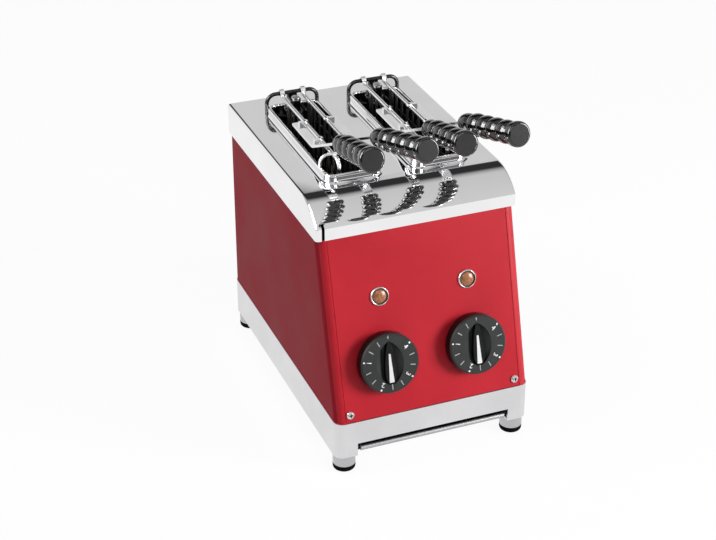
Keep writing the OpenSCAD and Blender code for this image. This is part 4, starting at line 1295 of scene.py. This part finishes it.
    def handle(self, jaw: Jaw) -> None:
        """Turn one beaded handle with its flared end disc.

        Args:
            jaw: Half of the tong.
        """
        rings = [(self.root_radius, 0.0)] + self.bead(0.0, self.bead_start, (self.crest + self.groove) / 2)
        starts = [self.bead_start + i * self.bead_pitch for i in range(self.bead_count + 1)]
        for start in starts[:-1]:
            rings += self.bead(start, start + self.bead_pitch, self.crest)
        for share in ((i + 1) / self.neck_steps for i in range(self.neck_steps)):
            flare = (self.disc - self.groove) * math.sin(share * math.pi / 2) ** self.neck_curve
            rings.append((self.groove + flare, starts[-1] + self.groove_half + share * self.neck))
        rings += [(self.disc - drop * MM, self.length - back * MM) for drop, back in self.disc_edge]
        handle = Bench.turned(f"{self.body}_handle_{jaw.word}_turned", rings)
        coat(Bench.smoothed(handle, 40.0), self.palette.handle, self.palette.handle_face)
        low, rim = self.length - self.disc_hollow, self.disc - self.disc_rim
        Bench.paint(handle, 1, lambda middle, normal: normal.z > 0.9 and middle.z > low and middle.xy.length < rim)
        turn = Matrix.Rotation(math.radians(-90 + jaw.value * self.splay), 4, "Z")
        tilt = Matrix.Rotation(math.radians(90 - self.slope), 4, "Y")
        foot = Matrix.Translation((self.middle + jaw.value * self.strap_x, *self.root))
        Bench.placed(handle, foot @ turn @ tilt)
        settle(handle, self.jaw_body(jaw), "black_bakelite", f"{self.body}_handle_{jaw.word}")


# Stage


@dataclass(frozen=True)
class Stand:
    """Place round the toaster, in degrees and metres, from which a camera or lamp looks at a point."""

    azimuth: float
    elevation: float
    distance: float
    target: Triple = (0.0, 0.0, 0.15)

    def hold(self, name: str, data: bpy.types.ID) -> Piece:
        """Set a camera or lamp on the stand.

        Args:
            name: Name of the object.
            data: Camera or lamp.

        Returns:
            The object.
        """
        a, e = math.radians(self.azimuth), math.radians(self.elevation)
        way = Vector((math.sin(a) * math.cos(e), -math.cos(a) * math.cos(e), math.sin(e)))
        held = bpy.data.objects.new(name, data)
        bpy.context.scene.collection.objects.link(held)
        held.location = Vector(self.target) + way * self.distance
        held.rotation_euler = (-way).to_track_quat("-Z", "Y").to_euler()
        return held


@dataclass(frozen=True)
class SoftBox:
    """Square studio lamp, which may show in gloss alone."""

    name: str
    stand: Stand
    size: float
    power: float
    spills: bool = True

    def hang(self) -> None:
        """Hang the lamp."""
        data = bpy.data.lights.new(self.name, "AREA")
        data.shape, data.size, data.energy = "SQUARE", self.size, self.power
        self.stand.hold(self.name, data).visible_diffuse = self.spills


@dataclass
class Studio:
    """Floor, soft light and the photograph's camera.

    The tent's wall, flag, roof and sides give brightness by an angle in degrees.
    """

    view: Stand = Stand(-21.64, 29.52, 1713.08 * MM, (-19.93 * MM, -5.06 * MM, 130.0 * MM))
    lens: float = 86.52
    floor_size: float = 14.0
    floor_grey: float = 0.42
    floor_glow: float = 1.1
    floor_share: float = 0.85
    fill: float = 0.26
    wall: Pairs = ((-180, 0.70), (30.0, 0.66), (32.5, 0.01))
    flag: Pairs = ((-17, 1.45), (-13, 0.05), (3.0, 0.05), (9.0, 1.0))
    roof: Pairs = ((54, 0.02), (62, 0.40), (70, 0.62), (135, 0.70), (142, 0.30), (160, 0.12))
    sides: Pairs = ((-115, 0.0), (-105, 0.45), (-24, 0.45), (-16, 0.0), (50, 0.0), (58, 0.45), (105, 0.45), (115, 0.0))
    boxes: tuple[SoftBox, ...] = (
        SoftBox("key", Stand(48.0, 14.0, 2.0), 0.8, 42.0),
        SoftBox("front", Stand(-2.0, 36.0, 2.3), 0.9, 6.5),
        SoftBox("upper", Stand(-104.0, 50.0, 1.7), 0.7, 7.5),
        SoftBox("gleam", Stand(-85.0, 32.0, 1.45), 0.8, 26.0, False))

    def build(self) -> None:
        """Set up camera, floor and light."""
        self.camera()
        self.floor()
        self.sky()
        for box in self.boxes:
            box.hang()
        bpy.context.scene.view_settings.view_transform = "Standard"

    def camera(self) -> None:
        """Place the camera that the photograph was taken with."""
        data = bpy.data.cameras.new("camera")
        data.sensor_width, data.sensor_fit, data.lens = 36.0, "HORIZONTAL", self.lens
        data.clip_start, data.clip_end = 0.05, 60.0
        bpy.context.scene.camera = self.view.hold("camera", data)

    def floor(self) -> None:
        """Lay the white floor, which keeps a soft shadow."""
        Bench.clear()
        bpy.ops.mesh.primitive_plane_add(size=self.floor_size, location=(0, 0, -0.4 * MM))
        floor = Bench.fresh("floor")
        material = bpy.data.materials.new("white_floor")
        tree = Tree(material)
        matt = tree.nodes["Principled BSDF"]
        tree.feed(matt, "Base Color", (self.floor_grey, self.floor_grey, self.floor_grey, 1))
        tree.feed(matt, "Roughness", 0.9)
        path = tree.add("LightPath").outputs
        seen = path["Is Camera Ray"]
        for ray in ("Is Glossy Ray", "Is Transmission Ray"):
            seen = tree.add("Math", {0: seen, 1: path[ray]}, operation="MAXIMUM").outputs[0]
        share = tree.add("Math", {0: seen, 1: self.floor_share}, operation="MULTIPLY").outputs[0]
        glow = tree.add("Emission", {"Strength": self.floor_glow}).outputs[0]
        mix = tree.add("MixShader", {"Fac": share, 1: matt.outputs[0], 2: glow})
        tree.feed(tree.nodes["Material Output"], "Surface", mix.outputs[0])
        floor.data.materials.append(material)

    @staticmethod
    def band(tree: Tree, rise: Socket, run: Socket, stops: Pairs) -> Socket:
        """Brightness by the angle between two axes.

        Args:
            tree: Tree of the sky.
            rise: Part of the way along the angle's sine.
            run: Part of the way along the angle's cosine.
            stops: Angle in degrees and brightness, in order.

        Returns:
            The brightness socket.
        """
        angle = tree.add("Math", {0: rise, 1: run}, operation="ARCTAN2").outputs[0]
        turn = tree.add("Math", {0: angle, 1: 0.5 / math.pi, 2: 0.5}, operation="MULTIPLY_ADD").outputs[0]
        ramp = tree.add("ValToRGB", {"Fac": turn})
        elements = ramp.color_ramp.elements
        while len(elements) < len(stops):
            elements.new(0.5)
        for element, (degrees, value) in zip(elements, stops):
            element.position = degrees / 360 + 0.5
            element.color = (value, value, value, 1)
        return ramp.outputs["Color"]

    def sky(self) -> None:
        """Light the set from a tent: a low back wall with a dark flag, a dark gap, a roof and pale sides."""
        world = bpy.context.scene.world = bpy.data.worlds.new("tent")
        tree = Tree(world)
        tree.nodes.clear()
        way = tree.add("SeparateXYZ", {0: tree.add("TexCoord").outputs["Generated"]}).outputs
        tent = self.band(tree, way["Z"], way["Y"], self.wall)
        for operation, axis, stops in (("MULTIPLY", "X", self.flag), ("ADD", "Z", self.roof),
                                       ("MAXIMUM", "X", self.sides)):
            other = self.band(tree, way[axis], way["Y"], stops)
            tent = tree.add("VectorMath", {0: tent, 1: other}, operation=operation).outputs[0]
        path = tree.add("LightPath").outputs
        light = tree.add("Background", {"Color": (self.fill, self.fill, self.fill, 1)}).outputs[0]
        for ray, colour in (("Is Glossy Ray", tent), ("Is Camera Ray", (1, 1, 1, 1))):
            shown = tree.add("Background", {"Color": colour}).outputs[0]
            light = tree.add("MixShader", {"Fac": path[ray], 1: light, 2: shown}).outputs[0]
        tree.add("OutputWorld", {"Surface": light})


def main() -> None:
    """Build the stage, then the pieces in order."""
    logging.basicConfig(level=logging.INFO, format="%(name)s: %(message)s")
    palette, slope = Palette(), Slope()
    Studio().build()
    Case(palette, slope).build()
    Chamber(palette).build()
    Controls(palette, slope).build()
    for side in Side:
        Tong(palette, side).build()
    Bench.clear()


if __name__ == "__main__":
    main()
